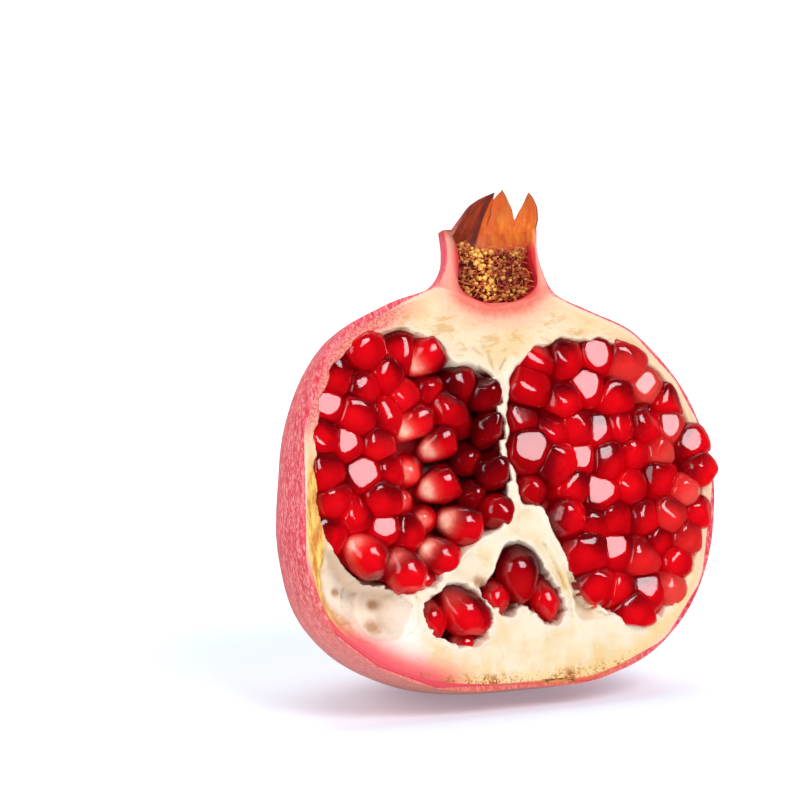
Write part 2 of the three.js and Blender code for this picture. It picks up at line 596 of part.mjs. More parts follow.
function clusterSolid(outline, arils, depth, taper, count) {
  const room = well(outline, depth, taper, count, GAP)
    .intersect(bodySolid(SKIN + PITH + 2 * GAP, SHOULDER_RING, COARSE));
  let bunch = room.subtract(frontSpace(outline, arils));
  for (const aril of arils) bunch = bunch.add(arilSolid(aril, arils).intersect(room));
  return bunch;
}

function chamberArils(outline, lying, facingSpots, spacing, front, seed, count) {
  const arils = arilsOf(outline, lying, facingSpots, spacing, front, seed);
  return clusterSolid(outline, arils, CHAMBER_DEPTH, CHAMBER_TAPER, count);
}

function pocketArils(outline, list, count) {
  return clusterSolid(outline, list.map(lyingAril), POCKET_DEPTH, POCKET_TAPER, count);
}

function stamensSolid() {
  const random = seeded(31);
  const mound = turned([...HOLLOW.filter(([, z]) => z < MOUND_TOP), [8.7, MOUND_TOP]], HOLLOW_X, -GAP);
  let tuft = mound.intersect(block([0, BLOCK / 2 + MOUND_FRONT, 0]));
  for (let n = 0; n < STAMENS; n++) {
    const across = (random() * 2 - 1) * TUFT_HALF;
    const behind = random() * Math.sqrt(56 - across * across);
    const [root, way] = n % 2
      ? [[across, 2.5 + 0.75 * behind, MOUND_TOP], [0.5 * (random() - 0.5), -0.3 - 0.5 * random(), 1]]
      : [[across, MOUND_FRONT + 0.4, TUFT_LOW + 7 * random()], [0.8 * (random() - 0.5), -0.55, 0.5 + 0.6 * random()]];
    const stamen = new THREE.OctahedronGeometry(1, 0);
    stamen.scale(STAMEN_HALF, STAMEN_REACH * (0.8 + 0.4 * random()), STAMEN_HALF);
    const turn = new THREE.Quaternion().setFromUnitVectors(
      new THREE.Vector3(0, 1, 0), new THREE.Vector3(...way).normalize());
    stamen.applyQuaternion(turn);
    stamen.translate(HOLLOW_X + root[0], root[1], root[2]);
    tuft = tuft.add(toSolid(stamen));
  }
  return tuft.intersect(hollow(-GAP)).intersect(behindCut);
}

// ---------- The half, leaning back on its flat spot ----------

const skinRed = new THREE.MeshStandardMaterial({ color: 0xc8384a, roughness: 0.5, metalness: 0 });
const pithCream = new THREE.MeshStandardMaterial({ color: 0xf3e3b4, roughness: 0.75, metalness: 0 });
const arilRed = new THREE.MeshStandardMaterial({ color: 0xa00d1c, roughness: 0.15, metalness: 0 });
const stamenGold = new THREE.MeshStandardMaterial({ color: 0xb07a34, roughness: 0.8, metalness: 0 });

const half = new THREE.Group();
half.rotation.x = -LEAN;

// The point of the base that the half rests on, in the cut's frame, and the way down to the table there.
const down = new THREE.Vector3(0, Math.sin(LEAN), -Math.cos(LEAN));
function lowestDrop() {
  let drop = -Infinity;
  for (let row = 0; row <= 60; row++)
    for (let k = 0; k <= 40; k++)
      drop = Math.max(drop, surface(row / 10, (Math.PI * k) / 40).dot(down));
  return drop;
}
const tableDrop = lowestDrop() - FLAT_SPOT_SINK;
half.position.set(0, -REST_DEPTH / Math.cos(LEAN) - tableDrop * Math.tan(LEAN), tableDrop);

half.updateMatrixWorld();
const table = new THREE.BoxGeometry(BLOCK, BLOCK, BLOCK);
table.translate(0, 0, -BLOCK / 2);
table.applyMatrix4(half.matrixWorld.clone().invert());

half.add(
  toMesh("rind", rindSolid().subtract(toSolid(table)), skinRed),
  toMesh("pith", pithSolid(), pithCream),
  toMesh("arils_left", chamberArils(LEFT_CHAMBER, LEFT_LYING, LEFT_FACING, leftSpacing, leftFront, 11, 50), arilRed),
  toMesh("arils_right", chamberArils(RIGHT_CHAMBER, RIGHT_LYING, RIGHT_FACING, rightSpacing, rightFront, 23, 46), arilRed),
  toMesh("arils_low_left", pocketArils(LOW_LEFT_POCKET, LOW_LEFT_ARILS, 20), arilRed),
  toMesh("arils_low_middle", pocketArils(LOW_MIDDLE_POCKET, LOW_MIDDLE_ARILS, 26), arilRed),
  toMesh("stamens", stamensSolid(), stamenGold),
);

const pomegranate = new THREE.Group();
pomegranate.add(half);

export default pomegranate;
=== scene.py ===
# %% [markdown]
# # Half of a pomegranate
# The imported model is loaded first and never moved. It says where the half stands and how big each piece is.
# Everything made below sits in the same metres and the same axes, so nothing has to be fitted afterwards.

# %% Load the frame
import math

import bmesh
import bpy
import numpy as np
from mathutils import Matrix, Vector, noise
from mathutils.bvhtree import BVHTree


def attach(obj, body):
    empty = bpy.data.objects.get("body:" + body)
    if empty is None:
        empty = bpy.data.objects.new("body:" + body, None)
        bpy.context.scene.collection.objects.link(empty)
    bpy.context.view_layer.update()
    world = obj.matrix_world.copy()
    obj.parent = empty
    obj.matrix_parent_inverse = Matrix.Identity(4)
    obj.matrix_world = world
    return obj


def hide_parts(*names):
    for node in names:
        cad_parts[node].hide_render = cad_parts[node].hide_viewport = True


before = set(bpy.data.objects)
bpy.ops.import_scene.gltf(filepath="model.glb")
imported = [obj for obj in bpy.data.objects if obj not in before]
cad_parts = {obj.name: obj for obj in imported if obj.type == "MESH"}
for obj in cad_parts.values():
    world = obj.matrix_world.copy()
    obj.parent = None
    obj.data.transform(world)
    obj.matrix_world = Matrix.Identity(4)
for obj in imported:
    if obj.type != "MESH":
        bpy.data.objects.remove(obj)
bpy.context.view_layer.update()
bpy.ops.object.select_all(action="DESELECT")

# %% [markdown]
# ## The fruit's own axes
# The half leans back on its blunt base. It is far easier to model it upright, in millimetres: x across the
# cut, y the depth behind the cut and z up the fruit. One matrix then leans the finished mesh back and sets
# it down. The lists are the same rings that the CAD skin is lofted through.

# %% Rings of the skin, and the lean
RIGHT_EDGE = [(0, 0), (13, 0.2), (25, 3.6), (37, 12), (44.5, 24), (48.1, 39), (46.6, 52), (42, 62),
              (33, 72.4), (22, 78), (14.2, 82), (12, 87), (11.4, 91.3), (11.9, 95.5)]
LEFT_EDGE = [
    (0, 0), (-13, 0.3), (-26, 2.4), (-39.3, 8.8), (-48.2, 18), (-50.8, 31), (-49.5, 46), (-46.5, 61),
    (-38.5, 74), (-25, 81), (-14.5, 84.3), (-11.2, 88), (-10.3, 92), (-10.3, 96)]
BACK = [(0, 0), (15, 0.1), (28.8, 1.6), (41, 7.6), (48.6, 20.5), (51.3, 37), (49.5, 50.5), (43.5, 63),
        (34, 72.6), (23, 78.6), (14.3, 82.7), (11.4, 87.3), (10.8, 91.3), (10.9, 96.5)]
LAST_RING = len(BACK) - 1
SHOULDER_RING = 10
RIDGES = 6
RIDGE_SHARE = 0.008
RIDGE_FADE = 3
LEAN = math.radians(14)
REST_DEPTH = 25.5
FLAT_SPOT_SINK = 0.5


def through(points, t, closed=False):
    """Points at t, from 0 to 1, of a centripetal Catmull-Rom curve through the given points."""
    pts = np.array(points, float)
    n = len(pts)
    place = np.atleast_1d(t) * (n if closed else n - 1)
    i = np.minimum(np.floor(place).astype(int), n - (1 if closed else 2))
    w = (place - i)[:, None]
    if closed:
        p0, p1, p2, p3 = (pts[(i + k) % n] for k in (-1, 0, 1, 2))
    else:
        padded = np.vstack([2 * pts[0] - pts[1], pts, 2 * pts[-1] - pts[-2]])
        p0, p1, p2, p3 = (padded[i + k] for k in (0, 1, 2, 3))
    d0, d1, d2 = (np.sqrt(np.linalg.norm(b - a, axis=1))[:, None] for a, b in ((p0, p1), (p1, p2), (p2, p3)))
    d1 = np.where(d1 < 1e-4, 1, d1)
    d0 = np.where(d0 < 1e-4, d1, d0)
    d2 = np.where(d2 < 1e-4, d1, d2)
    t1 = ((p1 - p0) / d0 - (p2 - p0) / (d0 + d1) + (p2 - p1) / d1) * d1
    t2 = ((p2 - p1) / d1 - (p3 - p1) / (d1 + d2) + (p3 - p2) / d2) * d1
    return p1 + t1 * w + (3 * (p2 - p1) - 2 * t1 - t2) * w**2 + (2 * (p1 - p2) + t1 + t2) * w**3


def skin_at(ring, turn):
    """The skin's outer surface: ring runs up the fruit, turn from the right cut edge round the back."""
    ring, turn = np.broadcast_arrays(np.asarray(ring, float), np.asarray(turn, float))
    shape = ring.shape
    ring, turn = ring.ravel(), turn.ravel()
    right, left, rear = (through(edge, ring / LAST_RING) for edge in (RIGHT_EDGE, LEFT_EDGE, BACK))
    side, depth = np.cos(turn), np.sin(turn)
    edge_z = np.where(side > 0, right[:, 1], left[:, 1])
    fade = np.minimum(1, ring / RIDGE_FADE) * np.clip((SHOULDER_RING - ring) / RIDGE_FADE, 0, 1)
    ridge = 1 + RIDGE_SHARE * fade * depth * np.cos(RIDGES * turn)
    x = ((right[:, 0] + left[:, 0]) / 2 + (right[:, 0] - left[:, 0]) / 2 * side) * ridge
    y = rear[:, 0] * depth * ridge
    z = rear[:, 1] * depth**2 + edge_z * side**2
    return np.stack([x, y, z], 1).reshape(*shape, 3)


def table_drop():
    """How far the leaning half is lifted so that a small flat spot of it rests on the table."""
    rings, turns = np.meshgrid(np.arange(61) / 10, np.pi * np.arange(41) / 40)
    return (skin_at(rings, turns) @ np.array([0, math.sin(LEAN), -math.cos(LEAN)])).max() - FLAT_SPOT_SINK


DROP = table_drop()
MM = 0.001
STAND = (Matrix.Translation(Vector((0, -REST_DEPTH / math.cos(LEAN) - DROP * math.tan(LEAN), DROP)) * MM)
         @ Matrix.Rotation(-LEAN, 4, "X") @ Matrix.Scale(MM, 4))
print("the cut's foot stands", round(DROP, 2), "mm above the table")

# %% [markdown]
# ## The camera
# A long lens from the front left, a little above the table, sees the cut turned 28 degrees and a strip of
# the outer skin. It is aimed so that the half stands right of the middle.

# %% Camera
VIEW_TURN = math.radians(-28)
VIEW_RISE = math.radians(6)
VIEW_DISTANCE = 0.65
MM_PER_PIXEL = 0.2073
AIM_HEIGHT = 45
AIM_PIXEL = (516, 470)
FRAME_PIXELS = 800
SENSOR = 36


def add_camera():
    ahead = Vector((-math.sin(VIEW_TURN) * math.cos(VIEW_RISE), math.cos(VIEW_TURN) * math.cos(VIEW_RISE),
                    -math.sin(VIEW_RISE)))
    right = Vector((math.cos(VIEW_TURN), math.sin(VIEW_TURN), 0))
    up = right.cross(ahead)
    focal_pixels = VIEW_DISTANCE / (MM_PER_PIXEL * MM)
    aside = (AIM_PIXEL[0] - FRAME_PIXELS / 2) / focal_pixels
    below = (AIM_PIXEL[1] - FRAME_PIXELS / 2) / focal_pixels
    aim = STAND @ Vector((0, 0, AIM_HEIGHT))
    bpy.ops.object.camera_add(location=aim - VIEW_DISTANCE * (ahead + aside * right - below * up))
    camera = bpy.context.object
    camera.rotation_euler = Matrix((right, up, -ahead)).transposed().to_euler()
    camera.data.sensor_width = SENSOR
    camera.data.lens = SENSOR * focal_pixels / FRAME_PIXELS
    camera.data.clip_end = 20
    bpy.context.scene.camera = camera
    return camera


camera = add_camera()
print("lens", round(camera.data.lens, 1), "mm")

# %% [markdown]
# ## Helpers for making meshes
# Each piece starts as a plain primitive: a UV sphere for anything closed and round, a grid for anything
# like a sheet. Its vertices are then moved onto the fruit by a formula, which gives smooth organic walls
# that extruding by hand can't. Booleans cut the closed forms, as a knife and a spoon do.

# %% Mesh helpers
def place_vertices(piece, points):
    piece.data.vertices.foreach_set("co", np.ascontiguousarray(points, dtype=np.float32).ravel())
    piece.data.update()


def vertices_of(piece):
    points = np.empty(len(piece.data.vertices) * 3, np.float32)
    piece.data.vertices.foreach_get("co", points)
    return points.reshape(-1, 3).astype(float)


def recalculate_normals(piece):
    bpy.ops.object.select_all(action="DESELECT")
    piece.select_set(True)
    bpy.context.view_layer.objects.active = piece
    bpy.ops.object.mode_set(mode="EDIT")
    bpy.ops.mesh.select_all(action="SELECT")
    bpy.ops.mesh.normals_make_consistent(inside=False)
    bpy.ops.object.mode_set(mode="OBJECT")


def rounded_solid(name, segments, rows, place):
    """A UV sphere whose vertex k round the axis and j up from the bottom pole goes to place(k, j)."""
    bpy.ops.mesh.primitive_uv_sphere_add(segments=segments, ring_count=rows, radius=1)
    piece = bpy.context.object
    piece.name = name
    unit = vertices_of(piece)
    j = np.rint(np.arccos(np.clip(-unit[:, 2], -1, 1)) / np.pi * rows).astype(int)
    k = np.rint(np.arctan2(unit[:, 1], unit[:, 0]) / (2 * np.pi) * segments).astype(int) % segments
    place_vertices(piece, place(k, j))
    recalculate_normals(piece)
    return piece


def combine(piece, tool, how):
    """Joins or cuts a piece with another and removes the tool."""
    step = piece.modifiers.new("combine", "BOOLEAN")
    step.operation = how
    step.solver = "MANIFOLD"
    step.object = tool
    bpy.ops.object.select_all(action="DESELECT")
    bpy.context.view_layer.objects.active = piece
    bpy.ops.object.modifier_apply(modifier=step.name)
    bpy.data.objects.remove(tool)
    return piece


def copy_of(piece, name):
    twin = piece.copy()
    twin.data = piece.data.copy()
    twin.name = name
    bpy.context.collection.objects.link(twin)
    return twin


def joined(name, pieces):
    bpy.ops.object.select_all(action="DESELECT")
    for piece in pieces:
        piece.select_set(True)
    bpy.context.view_layer.objects.active = pieces[0]
    if len(pieces) > 1:
        bpy.ops.object.join()
    whole = bpy.context.view_layer.objects.active
    whole.name = name
    return whole


def smooth(piece, angle=None):
    bpy.ops.object.select_all(action="DESELECT")
    piece.select_set(True)
    bpy.context.view_layer.objects.active = piece
    if angle is None:
        bpy.ops.object.shade_smooth()
    else:
        bpy.ops.object.shade_smooth_by_angle(angle=math.radians(angle))


def grain(points, size, seed=0.0):
    """Smooth noise from about -1 to 1 at each point, with bumps of the given size."""
    return np.array([noise.noise(Vector(p) / size + Vector((seed, seed, seed))) for p in points])


def ramp(x, start, end):
    """A soft step from 0 to 1 as x goes from start to end."""
    t = np.clip((np.asarray(x, float) - start) / (end - start), 0, 1)
    return t * t * (3 - 2 * t)


def on_cut(flat):
    """Places across and up the cut as points in its plane."""
    return np.stack([flat[:, 0], 0 * flat[:, 0], flat[:, 1]], 1)


def bell(x, middle, width):
    return np.exp(-(((x - middle) / width) ** 2))


def keep(piece, name, values):
    """Stores a value for each point of a piece, for its finish to read."""
    layer = piece.data.attributes.new(name, "FLOAT", "POINT")
    layer.data.foreach_set("value", np.ascontiguousarray(values, dtype=np.float32))


def stand_up(piece, *nodes):
    """Leans a finished piece back onto the table and lets it stand for its CAD nodes."""
    piece.data.transform(STAND)
    piece.data.update()
    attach(piece, "root")
    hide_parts(*nodes)


# %% [markdown]
# ## The skin
# The rind is a leathery shell about 1.4 mm thick. At the top it rises into the crown: a short tube with a
# hollow lined by its own skin. A half body is lofted through the rings, a second one drawn in by the skin's
# thickness hollows it out, and a turned form opens the crown. The outside carries faint lumps and pits, as
# a ripe fruit's skin does.

# %% The body and its hollow
SKIN = 1.4
CROWN_LINING = 1.2
LIP = 6
HOLLOW_X = 1.1
HOLLOW = [(0, 80.2), (3.6, 80.4), (6.8, 81.6), (8.9, 83.2), (9.5, 85), (9.2, 87.2), (8.8, 89.5),
          (8.9, 92), (9.6, 95), (9.9, 100)]
LUMP_SIZE, LUMP_HEIGHT = 13.0, 0.32
DIMPLE_SIZE, DIMPLE_HEIGHT = 2.6, 0.05
LUMP_FADE = 2
BODY_MIDDLE, BODY_RADIUS = (0, 0, 40), 48
CAP_BULGE = 8
SKIN_GRID, INNER_GRID, TURNED_GRID = (200, 250), (100, 130), (96, 48)
KNIFE_REACH = 200
SLOPE_STEP = 0.02


def drawn_in(ring, turn, inset):
    """The skin's surface moved inwards along its normal. Its cut edges stay in the plane of the cut."""
    point = skin_at(ring, turn)
    if not inset:
        return point
    step = SLOPE_STEP
    along = skin_at(np.minimum(LAST_RING, ring + step), turn) - skin_at(np.maximum(0, ring - step), turn)
    around = skin_at(ring, turn + step) - skin_at(ring, turn - step)
    edge = (turn < step) | (turn > np.pi - step)
    around[edge] = (0, 1, 0)
    normal = np.cross(around, along)
    normal /= np.linalg.norm(normal, axis=1)[:, None]
    normal[turn > np.pi - step] *= -1
    normal[ring == 0] = (0, 0, -1)
    return point - inset * normal


def half_body(name, inset, top_ring, turns, rows, lumps=False):
    """The half body out to a skin drawn in by inset. It runs forward past the cut by a lip."""
    def place(k, j):
        ring = np.clip(j / (rows - 1), 0, 1) * top_ring
        turn = np.pi * np.minimum(k, turns) / turns
        point = drawn_in(ring, turn, inset)
        if lumps:
            fade = np.clip((SHOULDER_RING + 0.5 - ring) / LUMP_FADE, 0, 1)
            relief = LUMP_HEIGHT * grain(point, LUMP_SIZE)
            relief -= DIMPLE_HEIGHT * np.abs(grain(point, DIMPLE_SIZE, 7))
            point = point + (relief * fade)[:, None] * (point - BODY_MIDDLE) / BODY_RADIUS
        point[(k == 0) | (k == turns), 1] = 0
        left = drawn_in(ring, np.full(len(ring), np.pi), inset)
        right = drawn_in(ring, np.zeros(len(ring)), inset)
        for step, share in ((1, 0), (2, 0.5), (3, 1)):
            front = k == turns + step
            point[front] = (left + (right - left) * share)[front]
            point[front, 1] = -LIP
        top = j == rows
        bulge = BACK[-1][0] / 2 if top_ring == LAST_RING else CAP_BULGE
        point[top] = (left[top] + right[top]) / 2 + (0, bulge, 0)
        point[j == 0] = point[j == 0] + (0, -LIP / 2, 0)
        return point
    return rounded_solid(name, turns + 4, rows, place)


def turned(name, profile, x, grow=0.0):
    """A form turned about an upright axis, from points of radius and height."""
    segments, rows = TURNED_GRID

    def place(k, j):
        radius, height = through(profile, np.clip(j / (rows - 1), 0, 1)).T
        angle = 2 * np.pi * k / segments
        radius = np.where((j == 0) | (j == rows), 0, np.maximum(radius + grow, 0.01))
        return np.stack([x + radius * np.cos(angle), radius * np.sin(angle), height - grow], 1)
    return rounded_solid(name, segments, rows, place)


def block(name, low, high):
    bpy.ops.mesh.primitive_cube_add(size=1, location=[(a + b) / 2 for a, b in zip(low, high)])
    piece = bpy.context.object
    piece.name = name
    piece.scale = [b - a for a, b in zip(low, high)]
    bpy.ops.object.transform_apply(location=True, rotation=False, scale=True)
    return piece


def behind_cut(piece):
    """Slices off what stands in front of the cut."""
    knife = block("knife", (-KNIFE_REACH, 0, -KNIFE_REACH), (KNIFE_REACH, KNIFE_REACH, KNIFE_REACH))
    return combine(piece, knife, "INTERSECT")


skin = half_body("skin", 0, LAST_RING, *SKIN_GRID, lumps=True)
outside = copy_of(skin, "outside")
behind_cut(skin)
filling = half_body("filling", SKIN, SHOULDER_RING, *INNER_GRID)
combine(filling, turned("lining", HOLLOW, HOLLOW_X, CROWN_LINING), "DIFFERENCE")
combine(skin, filling, "DIFFERENCE")
combine(skin, turned("hollow", HOLLOW, HOLLOW_X), "DIFFERENCE")
print("skin", len(skin.data.polygons), "faces")

# %% [markdown]
# ## The sepals
# Three stiff sepals stand on the crown's rim. Each is a curved blade that narrows to a dry tip, so it
# starts as a grid that is extruded into a thin sheet and wrapped round the crown's tube. Faint veins run up
# it, and its edge is uneven. It is grown as one with the skin, so the two are joined.

# %% Sepals
SEPALS = [
    {"span": (-4, 46), "root": 93, "tip": (12.8, 3, 104), "bow": 4.5, "flare": 0},
    {"span": (34, 96), "root": 93, "tip": (9, 7.4, 105.6), "bow": 4.5, "flare": 0},
    {"span": (82, 186), "root": 94, "tip": (5.6, 5.2, 104.6), "bow": 6, "flare": 1.1},
]
SEPAL_THICK = 0.9
TUBE_X, TUBE_RADIUS = 0.6, 10.2
VEIN_HEIGHT, VEINS = 0.12, 11
TIP_SHARE, TIP_POWERS = 0.03, (1.8, 0.9)
EDGE_WAVE, EDGE_WAVES = 0.03, 23
THINNER_TIP, THINNER_EDGE = 0.45, 0.4
SEPAL_GRID = (30, 44)


def sheet_solid(name, columns, rows, place):
    """A grid extruded once. Vertex (u, v, side) goes to place(u, v, side), side 0 in front and 1 behind."""
    bpy.ops.mesh.primitive_grid_add(x_subdivisions=columns, y_subdivisions=rows, size=2)
    piece = bpy.context.object
    piece.name = name
    bpy.ops.object.mode_set(mode="EDIT")
    bpy.ops.mesh.extrude_region_move(TRANSFORM_OT_translate={"value": (0, 0, 1)})
    bpy.ops.object.mode_set(mode="OBJECT")
    unit = vertices_of(piece)
    place_vertices(piece, place((unit[:, 0] + 1) / 2, (unit[:, 1] + 1) / 2, np.rint(unit[:, 2])))
    recalculate_normals(piece)
    return piece


def sepal(name, span, root, tip, bow, flare):
    """A curved blade over a span of degrees round the tube. It bows outwards, and flares to one side."""
    middle, spread_angle = math.radians(sum(span) / 2), math.radians((span[1] - span[0]) / 2)
    spine = np.array([TUBE_X + TUBE_RADIUS * math.cos(middle), TUBE_RADIUS * math.sin(middle), root])

    def place(u, v, side):
        across = 2 * u - 1
        narrow = np.maximum(TIP_SHARE, (1 - v ** TIP_POWERS[0]) ** TIP_POWERS[1])
        narrow = narrow * (1 + EDGE_WAVE * np.sin(EDGE_WAVES * v + root) * v)
        angle = middle + spread_angle * narrow * across
        around = np.stack([np.cos(angle), np.sin(angle), 0 * angle], 1)
        point = around * TUBE_RADIUS + (TUBE_X, 0, root) + np.outer(v, np.array(tip) - spine)
        out = bow * v * v * (1 - v) * (1 + flare * across)
        point += np.outer(out, (math.cos(middle), math.sin(middle), 0))
        vein = VEIN_HEIGHT * np.cos(VEINS * across) * (1 - v)
        thick = SEPAL_THICK * (1 - THINNER_TIP * v) * (1 - THINNER_EDGE * across**2)
        return point + around * ((0.5 - side) * thick + vein)[:, None]
    return sheet_solid(name, *SEPAL_GRID, place)


for number, each in enumerate(SEPALS):
    combine(skin, behind_cut(sepal(f"sepal_{number}", **each)), "UNION")
table = block("table", (-KNIFE_REACH, -KNIFE_REACH, -2 * KNIFE_REACH), (KNIFE_REACH, KNIFE_REACH, 0))
table.data.transform(STAND.inverted() @ Matrix.Scale(MM, 4))
combine(skin, table, "DIFFERENCE")
print("skin with sepals", len(skin.data.polygons), "faces")

# %% [markdown]
# ## Where the arils sit
# The arils fill two chambers and two small pockets. Each chamber has an outline on the cut. Seeds are
# dropped in it at random and then push each other apart until they are evenly spaced, as growing arils do.
# A few arils that lie along the cut are listed and placed first. The random numbers come from a fixed seed,
# so every run is the same.

# %% Chambers
RIGHT_CHAMBER = [(-0.4, 59.5), (1.5, 65.2), (5.5, 69.3), (12, 71.8), (21, 72.2), (30, 70.2), (37, 65.2),
                 (42, 58.5), (44.6, 50), (45.4, 42), (44.6, 33), (42, 24.5), (37.6, 17.6), (32, 12.8),
                 (25.4, 10.8), (19, 13.2), (13.4, 18.6), (9.6, 25.5), (6.4, 32), (5, 36.2), (0.2, 37.6),
                 (-0.4, 42), (-0.9, 50)]
LEFT_CHAMBER = [
    (-2.4, 59.5), (-3, 64), (-6.4, 67.2), (-11.4, 68.8), (-14, 72.3), (-19, 75.2), (-27, 75.8),
    (-34.2, 73.4), (-39.6, 68.8), (-43.2, 62.5), (-45.4, 55), (-46.4, 46), (-46.8, 38.4), (-44.6, 32.6),
    (-41, 27.6), (-37, 24.2), (-32, 23), (-27.4, 20.8), (-23.4, 21.6), (-18.6, 25), (-13.6, 28.4),
    (-9, 31), (-4.4, 33.2), (-2.2, 39), (-2.6, 48)]
LOW_LEFT_POCKET = [(-25, 19), (-22.4, 20.6), (-18.4, 22.8), (-14.8, 22.8), (-11, 18.8), (-9.8, 14.4),
                   (-12, 10.4), (-16.2, 9.4), (-21.2, 11.2), (-24.6, 14.4)]
LOW_MIDDLE_POCKET = [
    (-4.6, 30), (-0.9, 30.4), (2.6, 27.8), (4.6, 23.4), (7.4, 18.6), (8, 14), (4.6, 12.2), (0.6, 14.6),
    (-2.4, 17), (-5, 14.4), (-8, 16.4), (-11.4, 19.4), (-11, 21.8), (-8.4, 23.8), (-6.6, 27.4)]
CHAMBER_DEPTH, POCKET_DEPTH = 36, 14


def outline_points(outline, count):
    return through(outline, np.arange(count) / count, closed=True)


def to_outline(points, loop):
    """Distance from each point to a closed outline, less than 0 outside it, and the way inwards."""
    a, b = loop, np.roll(loop, -1, axis=0)
    edge = b - a
    rel = points[:, None] - a[None]
    share = np.clip((rel * edge).sum(2) / (edge**2).sum(1), 0, 1)
    away = rel - edge * share[:, :, None]
    far = np.linalg.norm(away, axis=2)
    best = far.argmin(1)
    rows = np.arange(len(points))
    distance = far[rows, best]
    way = away[rows, best] / np.maximum(distance, 1e-9)[:, None]
    crossing = (a[:, 1] > points[:, 1:]) != (b[:, 1] > points[:, 1:])
    with np.errstate(divide="ignore", invalid="ignore"):
        left_of = points[:, :1] < a[:, 0] + edge[:, 0] * (points[:, 1:] - a[:, 1]) / edge[:, 1]
    sign = np.where((crossing & left_of).sum(1) % 2, 1, -1)
    return distance * sign, way * sign[:, None]


# %% Spreading the arils
ARIL_SPACING = 6.7
ARIL_FRONT, ARIL_ROOT = 3.9, 5.6
ARIL_FULLNESS = 0.66
WALL_MARGIN = 2.5
LIES_OVER = 0.4
LOOP_POINTS = 64
SPREAD_TRIES, SPREAD_START = 6000, 0.76
SPREAD_ROUNDS, SPREAD_PUSH = 60, 0.25
DEPTH_SPREAD, TURN_SPREAD = 1.1, 0.3
FAN = 0.006


def seeded(seed):
    """A repeatable stream of numbers from 0 to 1."""
    state = seed
    while True:
        state = state * 16807 % 2147483647
        yield state / 2147483647


def spread(outline, fixed, spacing, seed):
    """Places spread evenly in an outline, clear of the fixed ones: dropped at random, then pushed apart."""
    loop = outline_points(outline, LOOP_POINTS)
    low, high = loop.min(0), loop.max(0)
    numbers = seeded(seed)
    points = [np.array(p, float) for p in fixed]
    for _ in range(SPREAD_TRIES):
        point = low + (high - low) * np.array([next(numbers), next(numbers)])
        room = SPREAD_START * spacing(point)
        if any(math.dist(p, point) <= room for p in points):
            continue
        if to_outline(point[None], loop)[0][0] > WALL_MARGIN:
            points.append(point)
    points = np.array(points)
    for _ in range(SPREAD_ROUNDS):
        for i in range(len(fixed), len(points)):
            gap = points[i] - points
            far = np.linalg.norm(gap, axis=1)
            wanted = spacing(points[i])
            near = (far > 0) & (far < wanted)
            push = SPREAD_PUSH * (wanted - far[near]) / far[near]
            moved = points[i] + (push[:, None] * gap[near]).sum(0)
            distance, way = to_outline(moved[None], loop)
            points[i] = moved + way[0] * max(0, WALL_MARGIN - distance[0])
    return points[len(fixed):]


def left_spacing(point):
    return ARIL_SPACING


def right_spacing(point):
    return ARIL_SPACING - 0.9 * ramp(point[0], 18, 42)


def left_front(x, z):
    return 0.3


def right_front(x, z):
    return -0.8 + 2.4 * bell(x, 0, 5) - 1.9 * ramp(x, 33, 42) * bell(z, 41, 13)


# %% The arils that lie along the cut
# Each is given by its middle, the way its blunt end points, and its half width and half length.
LEFT_LYING = [
    ((-16.6, 3.4, 70.1), (0.86, -0.25, 0.5), (3.8, 6)),
    ((-20.2, 4.5, 56.8), (0.85, -0.2, 0.49), (3.4, 5.9)),
    ((-14.9, 5, 52.2), (0.85, -0.2, 0.49), (3.5, 5.3)),
    ((-16, 4.7, 43.4), (0.96, -0.2, 0.22), (3.8, 5.4)),
    ((-12.5, 3.9, 34.9), (0.93, -0.15, -0.34), (4, 6)),
    ((-18.8, 3.8, 28.6), (0.73, -0.2, -0.67), (4, 5.6)),
    ((-27.2, 3.4, 26.5), (0.46, -0.2, -0.87), (4.2, 6.4)),
    ((-35.4, 3.5, 30.2), (0.63, -0.2, -0.77), (4.2, 6.2)),
    ((-22, 5.8, 24.2), (0.24, -0.3, -0.95), (3, 3.8)),
    ((-16.4, 6.2, 63.2), (0.3, -0.9, 0.2), (3.6, 4.6)),
    ((-22.9, 5.8, 46.9), (0.3, 0.9, 0.25), (3.4, 4.4)),
    ((-25.6, 5.8, 40.6), (0.2, 1, -0.1), (3.1, 4.2)), ((-20.5, 5.8, 36.7), (0.4, 0.9, 0.1), (2.9, 4)),
    ((-9, 5.6, 64), (0, -1, 0.1), (4.3, 4.4)), ((-4.4, 7, 67), (0, -1, 0.3), (3, 4)),
    ((-3.6, 3.6, 61.3), (0.1, -1, 0.3), (3.5, 4.5)), ((-3.6, 4.2, 54.2), (0.1, -0.8, 0.6), (3.2, 5.2)),
    ((-8.2, 9, 56.6), (0, -1, 0), (3.6, 4.2)), ((-7.6, 8, 48.6), (0, -1, 0), (3.3, 4)),
    ((-3.6, 4.2, 45.2), (0.1, -0.8, 0.5), (3.6, 4.6)), ((-7.6, 7, 40.8), (0, -1, 0), (3.3, 4)),
    ((-4, 4, 37.2), (0.2, -0.8, -0.4), (3.6, 4.8))]
RIGHT_LYING = [((5, 4, 40.5), (-0.8, -0.5, -0.1), (3.4, 4.8)), ((12, 3, 34.7), (-0.2, -1, -0.3), (4.3, 4.4))]
LOW_LEFT_ARILS = [
    ((-14.6, 4, 17), (0.6, -0.15, -0.78), (4.5, 7.2)), ((-21.8, 4.6, 16.6), (0.2, -0.2, -0.97), (3, 5)),
    ((-14.6, 5.4, 10.6), (0.9, -0.3, -0.4), (2.2, 3))]
